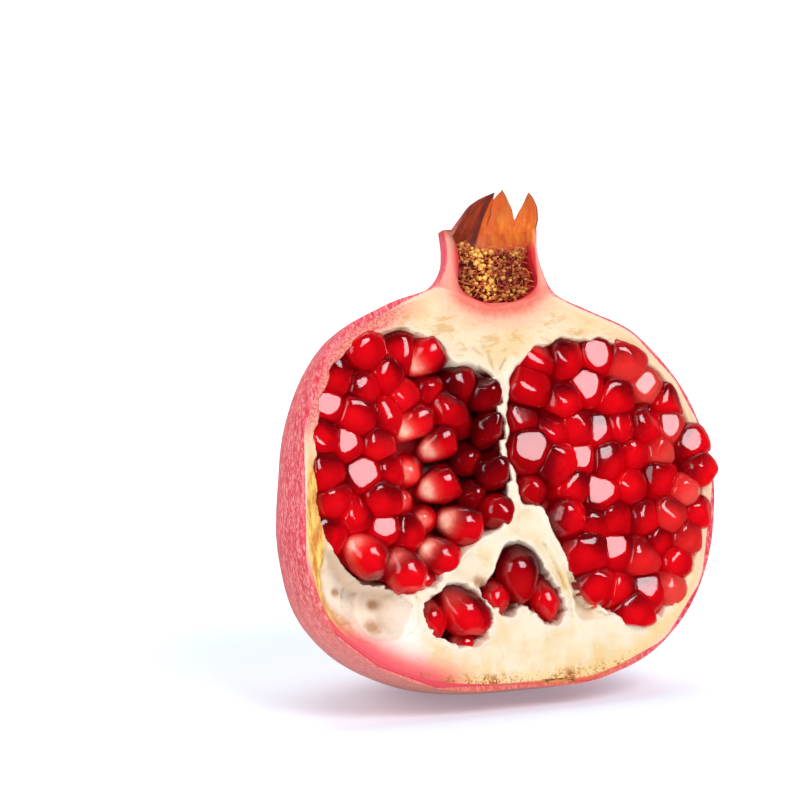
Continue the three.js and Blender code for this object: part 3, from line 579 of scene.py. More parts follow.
LOW_MIDDLE_ARILS = [
    ((-0.6, 3.8, 23.6), (0.05, 0.2, 0.98), (4.3, 6.2)),
    ((-6.4, 4.6, 19.4), (-0.15, -0.3, -0.97), (3, 4)), ((0.6, 8, 17), (-0.07, -0.3, -0.98), (2.3, 4)),
    ((5, 4.2, 18.4), (0.18, -0.25, -0.97), (3, 5.6))]

# Others face the cut at these places. A 1 marks the ones whose flat face is turned towards the light.
LEFT_FACING = [(-30.8, 71.6, 0), (-22.9, 71.6, 0), (-40.3, 60.7, 1), (-37.4, 53.1, 1), (-34.1, 46.4, 1),
               (-31.2, 35.2, 1), (-41.3, 41.4, 0), (-31, 41, 0), (-30.6, 52.5, 0)]
RIGHT_FACING = [
    (15.7, 68, 0), (23.7, 68, 1), (30.2, 66.4, 0), (6.7, 62.8, 0), (20.3, 61.8, 1), (26.8, 58.9, 0),
    (34.6, 61.2, 1), (39.6, 57.4, 0), (14.4, 59.2, 0), (11, 53, 0), (21.9, 52.2, 0), (32.7, 52.9, 0),
    (5.4, 49.3, 1), (16.6, 46.6, 1), (23.4, 45.5, 0), (20.3, 39.2, 1), (27.6, 40.3, 0), (34.3, 41.2, 0),
    (23, 33.4, 0), (30.1, 33.3, 0), (15.4, 26.9, 0), (22.3, 27, 1), (28.7, 24.9, 0), (16.9, 20, 0),
    (22.6, 18.6, 0), (29, 17.6, 0)]


PALE_NEAR, PALE_FAR = (0.3, 0.85), (0.6, 1.4)


class Aril:
    """One aril: its middle, the way its blunt end points, its half width and length, and its root's length.

    It lies along the cut or faces it, and its flat face may shine. Pale says where its kernel shows through.
    """

    def __init__(self, middle, towards, half, root=None, lies=True, shines=0):
        self.middle = np.array(middle, float)
        self.towards = np.array(towards, float) / np.linalg.norm(towards)
        self.width, self.length = half
        self.root = root or self.length
        self.lies = lies
        self.shines = shines
        self.pale = PALE_NEAR if self.towards[1] < 0 else PALE_FAR

    def oval(self, way):
        """Half the aril's size in one direction, before it is pressed."""
        along = float(way @ self.towards)
        length = self.length if along > 0 else self.root
        return ((along / length) ** 2 + (1 - along**2) / self.width**2) ** -0.5


def arils_of(outline, lying, facing, spacing, front, seed):
    """A chamber's arils: the lying ones, then those that face the cut. Front gives how deep they sit."""
    arils = [Aril(*each) for each in lying]
    ends = [aril.middle + share * aril.length * aril.towards
            for aril in arils for share in (-LIES_OVER, LIES_OVER)]
    fixed = [(end[0], end[2]) for end in ends] + [(x, z) for x, z, _ in facing]
    spots = list(facing) + [(x, z, 0) for x, z in spread(outline, fixed, spacing, seed)]
    cx, cz = outline_points(outline, LOOP_POINTS).mean(0)
    numbers = seeded(seed + 1)
    for x, z, shines in spots:
        depth = front(x, z) + ARIL_FRONT + DEPTH_SPREAD * (next(numbers) - 0.5)
        towards = ((x - cx) * FAN + TURN_SPREAD * (next(numbers) - 0.5), -1,
                   (z - cz) * FAN + TURN_SPREAD * (next(numbers) - 0.5))
        half = (ARIL_FULLNESS * spacing((x, z)), ARIL_FRONT)
        arils.append(Aril((x, depth, z), towards, half, ARIL_ROOT, lies=False, shines=shines))
    return arils


left_arils = arils_of(LEFT_CHAMBER, LEFT_LYING, LEFT_FACING, left_spacing, left_front, 11)
right_arils = arils_of(RIGHT_CHAMBER, RIGHT_LYING, RIGHT_FACING, right_spacing, right_front, 23)
POCKETS = ("arils_low_left", "arils_low_middle")
BUNCHES = {
    "arils_left": (LEFT_CHAMBER, left_arils),
    "arils_right": (RIGHT_CHAMBER, right_arils),
    "arils_low_left": (LOW_LEFT_POCKET, [Aril(*each) for each in LOW_LEFT_ARILS]),
    "arils_low_middle": (LOW_MIDDLE_POCKET, [Aril(*each) for each in LOW_MIDDLE_ARILS]),
}
print("arils", {name: len(arils) for name, (_, arils) in BUNCHES.items()})

# %% [markdown]
# ## The shape of an aril
# An aril is a juicy sac round a pale seed. It is a blunt oval that narrows to its root, and every neighbour
# that it touches has pressed a flat facet on it. One round ball is modelled once and copied for each aril.
# Its points then move out until they meet the oval or a facet, whichever comes first. The corners stay
# slightly round.

# %% Pressing the arils
ARIL_CLEAR = 0.015
OVAL_POWER = 2.7
CORNER_POWER = 28
MAIN_FACET = 0.8
FACET_TILT = 1.1
SIDE_FACETS = 5
FULLER = 1.25
FIRMER = 1.15
PRESSED_FROM = np.array([-0.22, -0.95, 0.2])
WALL_ROOM, LEAST_ROOM, BULGE_ROOM = 0.5, 2.4, 1.8
WALL_NEAR = 1.4
RIM_LEAN, RIM_HEIGHT = 1.4, 43
ROOT_SLIMMER = 0.3
MAIN_FACET_SPREAD = 0.08
FACET_TURN_SPREAD = 0.6
FACET_ANGLE, FACET_ANGLE_SPREAD = 0.75, 0.35
FACET_SHARE, FACET_SHARE_SPREAD = 0.9, 0.12


def ball(detail):
    bpy.ops.mesh.primitive_ico_sphere_add(subdivisions=detail, radius=1)
    return bpy.context.object


def press(aril, others, directions, loop, numbers, bulges):
    """How far the aril reaches from its middle in each direction."""
    along = directions @ aril.towards
    across = np.sqrt(np.maximum(0, 1 - along**2))
    length = np.where(along > 0, aril.length, aril.root)
    width = aril.width * np.where(along > 0, 1, 1 + ROOT_SLIMMER * along)
    oval = np.abs(along / length) ** OVAL_POWER + (across / width) ** OVAL_POWER
    total = oval ** (CORNER_POWER / OVAL_POWER)

    def facet(way, far):
        facing = directions @ way
        return np.where(facing > 0.05, (np.maximum(facing, 0) / far) ** CORNER_POWER, 0)

    for other in others:
        gap = other.middle - aril.middle
        far = np.linalg.norm(gap)
        own, theirs = (each.oval(gap / far * sign) * (FIRMER if each.lies else 1)
                       for each, sign in ((aril, 1), (other, -1)))
        total += facet(gap / far, far * own / (own + theirs) - ARIL_CLEAR)
    if loop is not None:
        distance, inwards = to_outline(aril.middle[None, [0, 2]], loop)
        room = max(LEAST_ROOM, distance[0] + (BULGE_ROOM if bulges else WALL_ROOM))
        room += RIM_LEAN * ramp(aril.middle[0], 38, 44) * bell(aril.middle[2], RIM_HEIGHT, 8)
        if room < WALL_NEAR * aril.width:
            total += facet(np.array([-inwards[0][0], 0, -inwards[0][1]]), room)
    if aril.lies:
        main = aril.towards
    else:
        tilt = np.array([next(numbers) - 0.5, 0, next(numbers) - 0.5])
        main = PRESSED_FROM if aril.shines else aril.towards + FACET_TILT * tilt
        main = main / np.linalg.norm(main)
        unevenness = MAIN_FACET_SPREAD * (1 - aril.shines) * next(numbers)
        total += facet(main, aril.length * (MAIN_FACET + unevenness))
    side = np.cross((1, 0, 0), main)
    other_side = np.cross(main, side)
    for n in range(SIDE_FACETS):
        turn = 2 * math.pi * (n + FACET_TURN_SPREAD * next(numbers)) / SIDE_FACETS
        tilt = FACET_ANGLE + FACET_ANGLE_SPREAD * next(numbers)
        way = (main * math.cos(tilt) + side * (math.sin(tilt) * math.cos(turn))
               + other_side * (math.sin(tilt) * math.sin(turn)))
        reach = 1 / ((math.cos(tilt) / aril.length) ** 2 + (math.sin(tilt) / aril.width) ** 2) ** 0.5
        share = FACET_SHARE + FACET_SHARE_SPREAD * next(numbers)
        total += facet(way / np.linalg.norm(way), reach * share)
    return total ** (-1 / CORNER_POWER)


# %% What an aril keeps for its finish
# Places of painted shade across and up the cut are given by their middle and width, in millimetres.
FRONT = np.array([-0.467, -0.877, -0.11])
# Painted light: each sac is painted brighter on the side facing this way, and a shining aril brighter on its
# flat face.
PAINTED_LIGHT_SIDE = np.array([0.15, -0.35, -0.92])
PAINTED_LIGHT_SPREAD = 1.5
SHINE_SHARE = 0.6
VALLEY, VALLEY_SHARE = (-5.5, 7.5), 1
SEPTUM_FOOT, SEPTUM_FOOT_SHARE = (3.5, 4), 0.5
MIDDLE_POCKET, MIDDLE_POCKET_SHARE = ((-0.6, 2.5), (24.5, 3)), 0.6


def sac_channels(piece, along, tone, shade, pale):
    """Stores how far along the aril a point is, the aril's own tone, its shade and how pale its root is."""
    layer = piece.data.color_attributes.new("sac", "FLOAT_COLOR", "POINT")
    along = np.broadcast_to(along, len(piece.data.vertices))
    values = np.stack(np.broadcast_arrays(along, tone, shade, pale), 1)
    layer.data.foreach_set("color", np.ascontiguousarray(values, dtype=np.float32).ravel())


def valley_shade(aril):
    """Arils beside the septum, and the middle pocket's top one, get painted shade: they sit deep in shadow,
    and their juice is also the darkest.
    """
    x, _, z = aril.middle
    near = float(VALLEY_SHARE * bell(x, *VALLEY) + SEPTUM_FOOT_SHARE * bell(x, *SEPTUM_FOOT))
    pocket = MIDDLE_POCKET_SHARE * float(bell(x, *MIDDLE_POCKET[0]) * bell(z, *MIDDLE_POCKET[1]))
    return max(pocket, min(1.0, near) * float(ramp(z, 30, 40)))


# %% Growth
# The limits of the ramps below are places on the fruit, in millimetres.
LEAST_SIZE, SIZE_SPREAD = 0.86, 0.3
GROWN_DEPTH_SPREAD = 1.5
LYING_LONGER, LYING_WIDER, LYING_FORWARD = 1.06, 1.08, 0.4
FACING_LONGER = 1.16
WALL_PRESS = 0.8
LEAN_BEGINS = -1.6


def grown(arils, seed):
    """Gives each facing aril its own size and depth, as no two grow alike."""
    numbers = seeded(seed)
    for aril in arils:
        size = LEAST_SIZE + SIZE_SPREAD * next(numbers)
        deeper = GROWN_DEPTH_SPREAD * (next(numbers) - 0.5)
        if aril.lies:
            aril.length *= LYING_LONGER
            aril.root *= LYING_LONGER
            aril.width *= LYING_WIDER
            aril.middle = aril.middle + (0, -LYING_FORWARD, 0)
        else:
            aril.width *= FULLER * size
            aril.length *= FACING_LONGER
            over = RIM_LEAN * ramp(aril.middle[0], 24, 42) * bell(aril.middle[2], RIM_HEIGHT, 9)
            aril.middle = aril.middle + (over, deeper - over, 0)
    return arils


up = np.linspace(0, LAST_RING, 60)
EDGE_LOOP = np.vstack([skin_at(up, 0.0), skin_at(up[:0:-1], np.pi)])[:, [0, 2]]


def held_in(aril, points, loop):
    """Keeps an aril's points inside the chamber's wall and the skin. Before the cut they may lean out."""
    if loop is None:
        return points
    distance, inwards = to_outline(points[:, [0, 2]], loop)
    allowed = WALL_PRESS * float(ramp(aril.middle[0], -43, -36))
    allowed += (BULGE_ROOM + RIM_LEAN) * float(ramp(aril.middle[0], 30, 36))
    points[:, [0, 2]] += inwards * np.maximum(0, -distance - allowed)[:, None]
    edge, inwards = to_outline(points[:, [0, 2]], EDGE_LOOP)
    behind = ramp(points[:, 1], LEAN_BEGINS, 0)
    room = SKIN * behind - RIM_LEAN * (1 - behind)
    points[:, [0, 2]] += inwards * np.maximum(0, room - edge)[:, None]
    return points


# %% A bunch
SEED_SHARE = (0.6, 0.7)
SEED_WIDEST = 3.6
POCKET_PALE = 0.4
BULGE_FROM = 34


def bunch_of(name, template, seed_template, outline, arils, seed):
    """The sacs of a bunch, and the pale seed inside each."""
    loop = None if name in POCKETS else outline_points(outline, LOOP_POINTS)
    directions, small = (vertices_of(each) for each in (template, seed_template))
    directions /= np.linalg.norm(directions, axis=1)[:, None]
    numbers, whims = seeded(seed), seeded(seed + 50)
    sacs, seeds = [], []
    for number, aril in enumerate(arils):
        others = [other for other in arils
                  if other is not aril and math.dist(other.middle, aril.middle) < 2 * ARIL_SPACING]
        reach = press(aril, others, directions, loop, numbers, aril.middle[0] > BULGE_FROM)
        sac = copy_of(template, f"{name}_{number}")
        place_vertices(sac, held_in(aril, aril.middle + directions * reach[:, None], loop))
        facing = directions @ aril.towards
        along = 0.5 + 0.5 * facing * reach / np.where(facing > 0, aril.length, aril.root)
        # Arils are lighter towards the right rim: partly paler juice, partly painted light shining through
        # them.
        tone = 0.6 * next(numbers) + 0.4 * float(ramp(aril.middle[0], 22, 40))
        shade = valley_shade(aril)
        pale = ramp(directions @ FRONT, *aril.pale) * (POCKET_PALE if loop is None else aril.lies)
        sac_channels(sac, along, tone, shade, pale)
        # Painted light on each sac: brighter on one side, which wanders from aril to aril, and a painted
        # highlight on a shining aril's flat face.
        painted_light_side = PAINTED_LIGHT_SIDE + PAINTED_LIGHT_SPREAD * np.array([next(whims) - 0.5, 0, next(whims) - 0.3])
        painted_light = 0.5 + 0.5 * directions @ (painted_light_side / np.linalg.norm(painted_light_side))
        keep(sac, "painted_light", painted_light + aril.shines * SHINE_SHARE * ramp(directions @ PRESSED_FROM, 0.7, 0.9))
        sacs.append(sac)
        kernel = copy_of(seed_template, f"{name}_seed_{number}")
        length = np.where(small @ aril.towards > 0, aril.length, aril.root) * SEED_SHARE[1]
        width = min(aril.width, SEED_WIDEST) * SEED_SHARE[0]
        lengthwise = np.outer(small @ aril.towards, aril.towards)
        place_vertices(kernel, aril.middle + lengthwise * length[:, None] + (small - lengthwise) * width)
        sac_channels(kernel, 0.5, tone, shade, 1.0)
        seeds.append(kernel)
    return sacs, seeds


# %% [markdown]
# Behind the front arils lie more layers that can't be seen. A mass with the arils' depths fills that room,
# so a gap between two arils shows juice and not pith. Its dark red is painted shade, darkest by the septum.

# %% Modelling the bunches
CORE_BEHIND = 2.2
CORE_DEPTH = {"arils_left": 28, "arils_right": 28, "arils_low_left": 13, "arils_low_middle": 13}
CORE_SIZE, CORE_TAPER = 0.93, 0.5
CORE_SIDES, CORE_ROWS, CORE_FRONT_ROWS = 96, 40, 24
CORE_LUMP, CORE_LUMP_SIZE = 0.5, 3.0
FIRST_GROWTH_SEED, FIRST_BUNCH_SEED = 71, 101


def core_of(name, outline, arils, depth):
    """The mass behind the arils, painted dark as shade, with a front that follows their depths."""
    loop = outline_points(outline, CORE_SIDES)
    centre = loop.mean(0)
    middles = np.array([aril.middle for aril in arils])

    def place(k, j):
        share = np.clip(j / CORE_FRONT_ROWS, 0, 1) * CORE_SIZE
        back = np.clip((j - CORE_FRONT_ROWS) / (CORE_ROWS - 1 - CORE_FRONT_ROWS), 0, 1)
        share = np.where(j == CORE_ROWS, 0, share * (1 - CORE_TAPER * back))
        flat = centre + (loop[k] - centre) * share[:, None]
        apart = ((flat[:, None] - middles[None, :, [0, 2]]) ** 2).sum(2)
        weight = np.exp(-apart / (ARIL_SPACING / 2) ** 2) + 1e-9
        front = (weight * middles[:, 1]).sum(1) / weight.sum(1) + CORE_BEHIND
        lump = CORE_LUMP * grain(on_cut(flat), CORE_LUMP_SIZE, 5)
        y = front + lump + (depth - front) * back
        return np.stack([flat[:, 0], y, flat[:, 1]], 1)
    piece = rounded_solid(f"{name}_core", CORE_SIDES, CORE_ROWS, place)
    # The mass carries full painted shade.
    sac_channels(piece, 0.5, 0.5, 1.0, 0.0)
    return piece


template, seed_template = ball(4), ball(3)
bunches, seed_sets = {}, {}
for number, (name, (outline, arils)) in enumerate(BUNCHES.items()):
    arils = grown(arils, FIRST_GROWTH_SEED + number)
    sacs, seeds = bunch_of(name, template, seed_template, outline, arils, FIRST_BUNCH_SEED + number)
    seeds.append(core_of(name, outline, arils, CORE_DEPTH[name]))
    bunches[name] = joined(f"sacs_of_{name}", sacs)
    seed_sets[name] = joined(f"seeds_of_{name}", seeds)
    smooth(bunches[name])
    smooth(seed_sets[name])
    print(name, len(bunches[name].data.polygons), "faces,", len(seed_sets[name].data.polygons), "inside")
bpy.data.objects.remove(template)
bpy.data.objects.remove(seed_template)

# %% [markdown]
# ## The pith
# The pith is a spongy cream wall. The knife has laid it open, so its front is one sheet with steep holes
# where the arils sit. A fine grid is extruded into a slab, and its front points are pushed back by a depth
# map made of distances: to the chambers' outlines, to each aril near the wall, and to the torn bowls low
# down. The slab is then cut to the fruit's own shape.

# %% Depth of the pith
SLANT, SLANT_DEPTH, SLANT_WIDTH = 0.45, 6, 10
WALL_SLOPE = 0.21
PITH_LOW, PITH_HIGH = (-52, -2), (50, 93)
PITH_COLUMNS, PITH_ROWS = 330, 330
FINE_ROWS, FINE_HEIGHT = 0.52, 0.37
PITH_BACK = 60
SET_BACK = 0.01
OVERLAP, CAP_OVERLAP = 0.02, 0.15
SEPTUM_WASTE = 1.2
SEPTUM_X, SEPTUM_WIDTH = -1.4, 2.5
WELL_TIGHT = 0.3
WELL_SIDES = 160
WALL_THIN, WALL_THIN_SEPTUM, WALL_THIN_RIM = 0.3, 0.8, 0.5
WALL_THICK = 0.7
FLUSH, CAP_HEIGHT = 1.8, 82
CAP_FADE, CAP_SHARE = 8, 0.2
BOWLS = [
    {"middle": (-41.8, 25.2), "radii": (6.0, 8.6), "depth": 5.0},
    {"middle": (-33.8, 20.2), "radii": (6.4, 8.2), "depth": 6.2},
    {"middle": (-36.6, 21.4), "radii": (11.4, 9.4), "depth": 2.6},
    {"middle": (13.2, 21.5), "radii": (3.6, 9.0), "depth": 3.4},
    {"middle": (17.4, 16.2), "radii": (7.2, 3.6), "depth": 2.2},
    {"middle": (1.2, 33.6), "radii": (4.0, 3.2), "depth": 1.0},
    {"middle": (-12.6, 25.4), "radii": (4.6, 3.0), "depth": 1.1},
]
DENTS = [
    ((-40.9, 23.3), 1.5, 1.0), ((-32.2, 20.3), 1.7, 0.9), ((-33.7, 15.8), 2.4, 0.5),
    ((-11.0, 22.4), 2.2, 1.2)]
FOLDS = [
    [(-38.2, 24.8), (-38.7, 22.4), (-39.5, 19.6)],
    [(-31.0, 24.0), (-28.8, 21.4), (-27.6, 19.0), (-27.7, 16.2)],
    [(-26.4, 21.5), (-26.4, 18.5), (-26.7, 15.6), (-28.2, 13.8), (-30.2, 12.7)],
    [(5.2, 28.6), (7.4, 24.5), (9.4, 18.5), (9.8, 13.5)]]
PLEATS = [[(7.0, 30.0), (9.6, 25.0), (10.8, 19.0), (10.6, 14.0)], [(4.0, 31.0), (6.6, 26.0), (8.4, 20.0)],
          [(12.4, 25.0), (12.9, 19.0), (12.2, 13.6)], [(-36.0, 23.0), (-36.6, 18.5), (-34.4, 14.6)]]
TONGUE = {"middle": (-28.6, 16.6), "radii": (3.4, 5.4), "height": 2.6}
CRACKS = [
    [(-3.2, 69.5), (-2.6, 66.8), (-1.6, 64.4)], [(-6.8, 71.0), (-4.6, 69.2)],
    [(0.6, 68.4), (-0.8, 66.2)]]


def wells_at(flat):
    """How far each point lies inside the nearest chamber, and that chamber's depth."""
    best = np.full(len(flat), -99.0)
    deepest = np.zeros(len(flat))
    for name, (outline, arils) in BUNCHES.items():
        loop = outline_points(outline, WELL_SIDES)
        inside = to_outline(flat, loop)[0]
        if name not in POCKETS:
            discs = np.full(len(flat), -99.0)
            for aril in arils:
                own = to_outline(aril.middle[None, [0, 2]], loop)[0][0]
                far = np.hypot(flat[:, 0] - aril.middle[0], flat[:, 1] - aril.middle[2])
                discs = np.maximum(discs, min(aril.width, max(LEAST_ROOM, own + WALL_ROOM)) - far)
            septum = bell(flat[:, 0], SEPTUM_X, SEPTUM_WIDTH) * ramp(flat[:, 1], 36, 42)
            discs += SEPTUM_WASTE * septum - WELL_TIGHT
            thin = WALL_THIN + WALL_THIN_SEPTUM * septum + WALL_THIN_RIM * ramp(flat[:, 0], 30, 40)
            inside = np.clip(discs, inside - WALL_THICK + thin * 0.5, inside + thin)
        deepest = np.where(inside > best, POCKET_DEPTH if name in POCKETS else CHAMBER_DEPTH, deepest)
        best = np.maximum(best, inside)
    return best, deepest


def to_line(flat, line):
    """Distance from each point to a line, and 1 or -1 for its left or right side."""
    a, b = np.array(line[:-1], float), np.array(line[1:], float)
    edge = b - a
    rel = flat[:, None] - a[None]
    share = np.clip((rel * edge).sum(2) / (edge**2).sum(1), 0, 1)
    far = np.linalg.norm(rel - edge * share[:, :, None], axis=2)
    best = far.argmin(1)
    rows = np.arange(len(flat))
    turn = edge[best, 0] * rel[rows, best, 1] - edge[best, 1] * rel[rows, best, 0]
    return far[rows, best], np.sign(turn)


HOLLOW_LINE = [(HOLLOW_X - radius, height) for radius, height in HOLLOW[:0:-1]] + [
    (HOLLOW_X + radius, height) for radius, height in HOLLOW]


# %% The pith's front
PITH_FRONT = 0.25
COARSE_SIZE, COARSE_HEIGHT = 5, 0.14
FINE_SIZE, FINE_GRAIN = 0.9, 0.1
WANDER_SIZE, WANDER = 2.2, 0.3
TEAR_SIZE, TEAR = 1.5, 0.75
BOWL_POWER, TONGUE_POWER = 0.7, 0.6
FOLD_LEDGE, FOLD_EDGE, FOLD_WIDTH = 0.5, 0.35, 1.3
PLEAT_DEPTH, PLEAT_WIDTH = 0.55, 0.75
CRACK_DEPTH, CRACK_WIDTH = 0.7, 0.35
LIP_HEIGHT, LIP_PLACE, LIP_WIDTH, LIP_SMOOTH = 0.25, -0.35, 0.4, 0.6


def wandering(flat):
    """A small sideways drift, so that drawn outlines and folds don't look drawn."""
    points = on_cut(flat)
    return np.stack([grain(points, WANDER_SIZE, 3), grain(points, WANDER_SIZE, 9)], 1) * WANDER


def tearing(flat):
    """Ragged drift of the chambers' edges, strongest low down, where the pith was torn, and at the septum."""
    points = on_cut(flat)
    ragged = 0.15 + 0.85 * ramp(-flat[:, 1], -27, -20) + 0.35 * bell(flat[:, 0], -1, 2)
    drift = [grain(points, TEAR_SIZE, seed) + 0.5 * grain(points, TEAR_SIZE / 2, seed) for seed in (13, 19)]
    return np.stack(drift, 1) * TEAR * ragged[:, None]


def pith_front(flat):
    """Depth of the pith's front behind the cut."""
    wander = wandering(flat)
    inside, deepest = wells_at(flat + wander + tearing(flat))
    coarse, fine = grain(on_cut(flat), COARSE_SIZE, 1), grain(on_cut(flat), FINE_SIZE, 2)
    y = PITH_FRONT + COARSE_HEIGHT * coarse + FINE_GRAIN * fine
    for bowl in BOWLS:
        rel = (flat + 2 * wander - bowl["middle"]) / bowl["radii"]
        y = y + bowl["depth"] * np.maximum(0, 1 - (rel**2).sum(1)) ** BOWL_POWER
    for middle, width, depth in DENTS:
        y = y + depth * bell(np.linalg.norm(flat - middle, axis=1), 0, width)
    for fold in FOLDS:
        far, side = to_line(flat + wander, fold)
        y = y - FOLD_LEDGE * np.tanh(far * side / FOLD_EDGE) * bell(far, 0, FOLD_WIDTH)
    for pleat in PLEATS:
        y = y + PLEAT_DEPTH * bell(to_line(flat + 1.5 * wander, pleat)[0], 0, PLEAT_WIDTH)
    rel = ((flat - TONGUE["middle"]) / TONGUE["radii"]) ** 2
    y = y - TONGUE["height"] * np.maximum(0, 1 - rel.sum(1)) ** TONGUE_POWER
    for crack in CRACKS:
        y = y + CRACK_DEPTH * bell(to_line(flat + wander, crack)[0], 0, CRACK_WIDTH)
    # Near the skin, the crown's hollow and the top, the front is flush with the cut.
    below_cap = CAP_HEIGHT - flat[:, 1]
    margin = np.minimum(to_outline(flat, EDGE_LOOP)[0] - SKIN, to_line(flat, HOLLOW_LINE)[0] - CROWN_LINING)
    margin = np.minimum(margin, below_cap)
    flattened = ramp(margin, 0, FLUSH) * (CAP_SHARE + (1 - CAP_SHARE) * ramp(below_cap, 0, CAP_FADE))
    y = np.maximum(y, 0) * flattened + SET_BACK
    lip = bell(inside, LIP_PLACE, LIP_WIDTH)
    y = y * (1 - LIP_SMOOTH * lip) - LIP_HEIGHT * lip * (0.5 + 0.9 * coarse)
    wall = np.minimum(np.maximum(inside, 0) / WALL_SLOPE * ramp(inside, -0.05, 0.25), deepest)
    return np.where(inside > 0, np.maximum(y, wall), y)


# %% The slab
def pith_slab():
    """A slab whose front follows the depth map. Its low rows are finer, as the torn folds are there."""
    width, height = PITH_HIGH[0] - PITH_LOW[0], PITH_HIGH[1] - PITH_LOW[1]

    def place(u, v, side):
        up = np.interp(v, (0, FINE_ROWS, 1), (0, FINE_HEIGHT, 1))
        flat = np.stack([PITH_LOW[0] + width * u, PITH_LOW[1] + height * up], 1)
        y = np.full(len(flat), float(PITH_BACK))
        front = side == 0
        y[front] = pith_front(flat[front])
        x = flat[:, 0] + SLANT * np.clip(y, 0, SLANT_DEPTH) * bell(flat[:, 0], 0, SLANT_WIDTH) * (side == 0)
        return np.stack([x, y, flat[:, 1]], 1)
    return sheet_solid("pith_wall", PITH_COLUMNS, PITH_ROWS, place)


pith = pith_slab()
body = half_body("body", SKIN - OVERLAP, SHOULDER_RING + CAP_OVERLAP, *INNER_GRID)
combine(body, turned("lining", HOLLOW, HOLLOW_X, CROWN_LINING - OVERLAP), "DIFFERENCE")
combine(pith, body, "INTERSECT")
print("pith", len(pith.data.polygons), "faces")

# %% [markdown]
# ## The dried stamens
# The crown's hollow is packed with dried stamens. Each is a thin bent thread that ends in a small golden
# pollen sac. One thread and one sac are modelled with few faces and copied many times over a dark rough
# mound.

# %% Stamens
STAMEN_COUNT, STAMEN_SEED = 440, 31
SAC_HALF = (0.5, 0.44, 0.62)
THREAD_HALF = 0.12
THREAD_SIDES, THREAD_STEPS = 5, 7
MOUND_TOP, MOUND_FRONT, MOUND_RADIUS, MOUND_CLEAR = 90.2, 2.4, 8.7, 0.3
MOUND_ROUGH = ((1.3, 1), (0.6, 0.5))
MOUND_TOP_ROUGH, MOUND_FRONT_ROUGH, MOUND_SET_BACK = 0.9, 0.5, 0.4
STAMEN_REACH = 7.9
HANG_LOW, HANG_HEIGHT = 80.9, 10.9
HANG_FRONT, HANG_DEPTH = 0.9, 1.3
CUP_LOW, CUP_RADIUS, CUP_RISE = 81, 8.6, 3.6
STAND_HEIGHT, STAND_LEFT_RISE = 1.6, 1.6
STAND_FRONT, STAND_REACH, LEAST_REACH = 0.8, 56, 0.2
LEAST_SAC, SAC_SPREAD = 0.5, 0.75
THIN_FROM, DARK_TONE = -3.8, 0.45
SAC_GOLD, THREAD_GOLD = 1.0, 0.4
WAIST, WAIST_WIDTH = 0.25, 0.3


def stamen_channels(piece, gold, tone):
    layer = piece.data.color_attributes.new("stamen", "FLOAT_COLOR", "POINT")
    count = len(piece.data.vertices)
    values = np.stack(np.broadcast_arrays(np.full(count, gold), tone, 0.0, 1.0), 1)
    layer.data.foreach_set("color", np.ascontiguousarray(values, dtype=np.float32).ravel())


def aim(way):
    """The turn that points the upright axis another way."""
    return np.array(Vector((0, 0, 1)).rotation_difference(Vector(way)).to_matrix())


def mound():
    """The dark rough heap that fills the hollow, a little way behind the cut."""
    profile = [point for point in HOLLOW if point[1] < MOUND_TOP] + [(MOUND_RADIUS, MOUND_TOP)]
    piece = turned("mound", profile, HOLLOW_X, -MOUND_CLEAR)
    points = vertices_of(piece)
    rough = sum(height * grain(points, size, 4 + n) for n, (size, height) in enumerate(MOUND_ROUGH))
    points[:, 2] += np.where(points[:, 2] > MOUND_TOP - 1, MOUND_TOP_ROUGH * rough, 0)
    flat = points[:, 1] < MOUND_FRONT
    points[flat, 1] = MOUND_FRONT + MOUND_FRONT_ROUGH * rough[flat] + MOUND_SET_BACK
    place_vertices(piece, points)
    stamen_channels(piece, 0.0, 0.2)
    return piece


def pollen_sac(template, tip, way, size):
    sac = copy_of(template, "sac")
    unit = vertices_of(sac)
    waist = 1 - WAIST * bell(unit[:, 0], 0, WAIST_WIDTH)
    place_vertices(sac, tip + (unit * SAC_HALF * size * waist[:, None]) @ aim(way).T)
    return sac


def thread(template, root, tip, bow):
    """A thin bent hair: a slender ball whose rings follow a bow from root to tip."""
    hair = copy_of(template, "thread")
    unit = vertices_of(hair)
    t = np.arccos(np.clip(-unit[:, 2:], -1, 1)) / np.pi
    ring = unit * (1, 1, 0)
    ring *= THREAD_HALF / np.maximum(np.linalg.norm(ring, axis=1), 0.1)[:, None]
    line = aim((tip - root) / np.linalg.norm(tip - root))
    place_vertices(hair, root * (1 - t) + tip * t + bow * 4 * t * (1 - t) + ring @ line.T)
    return hair


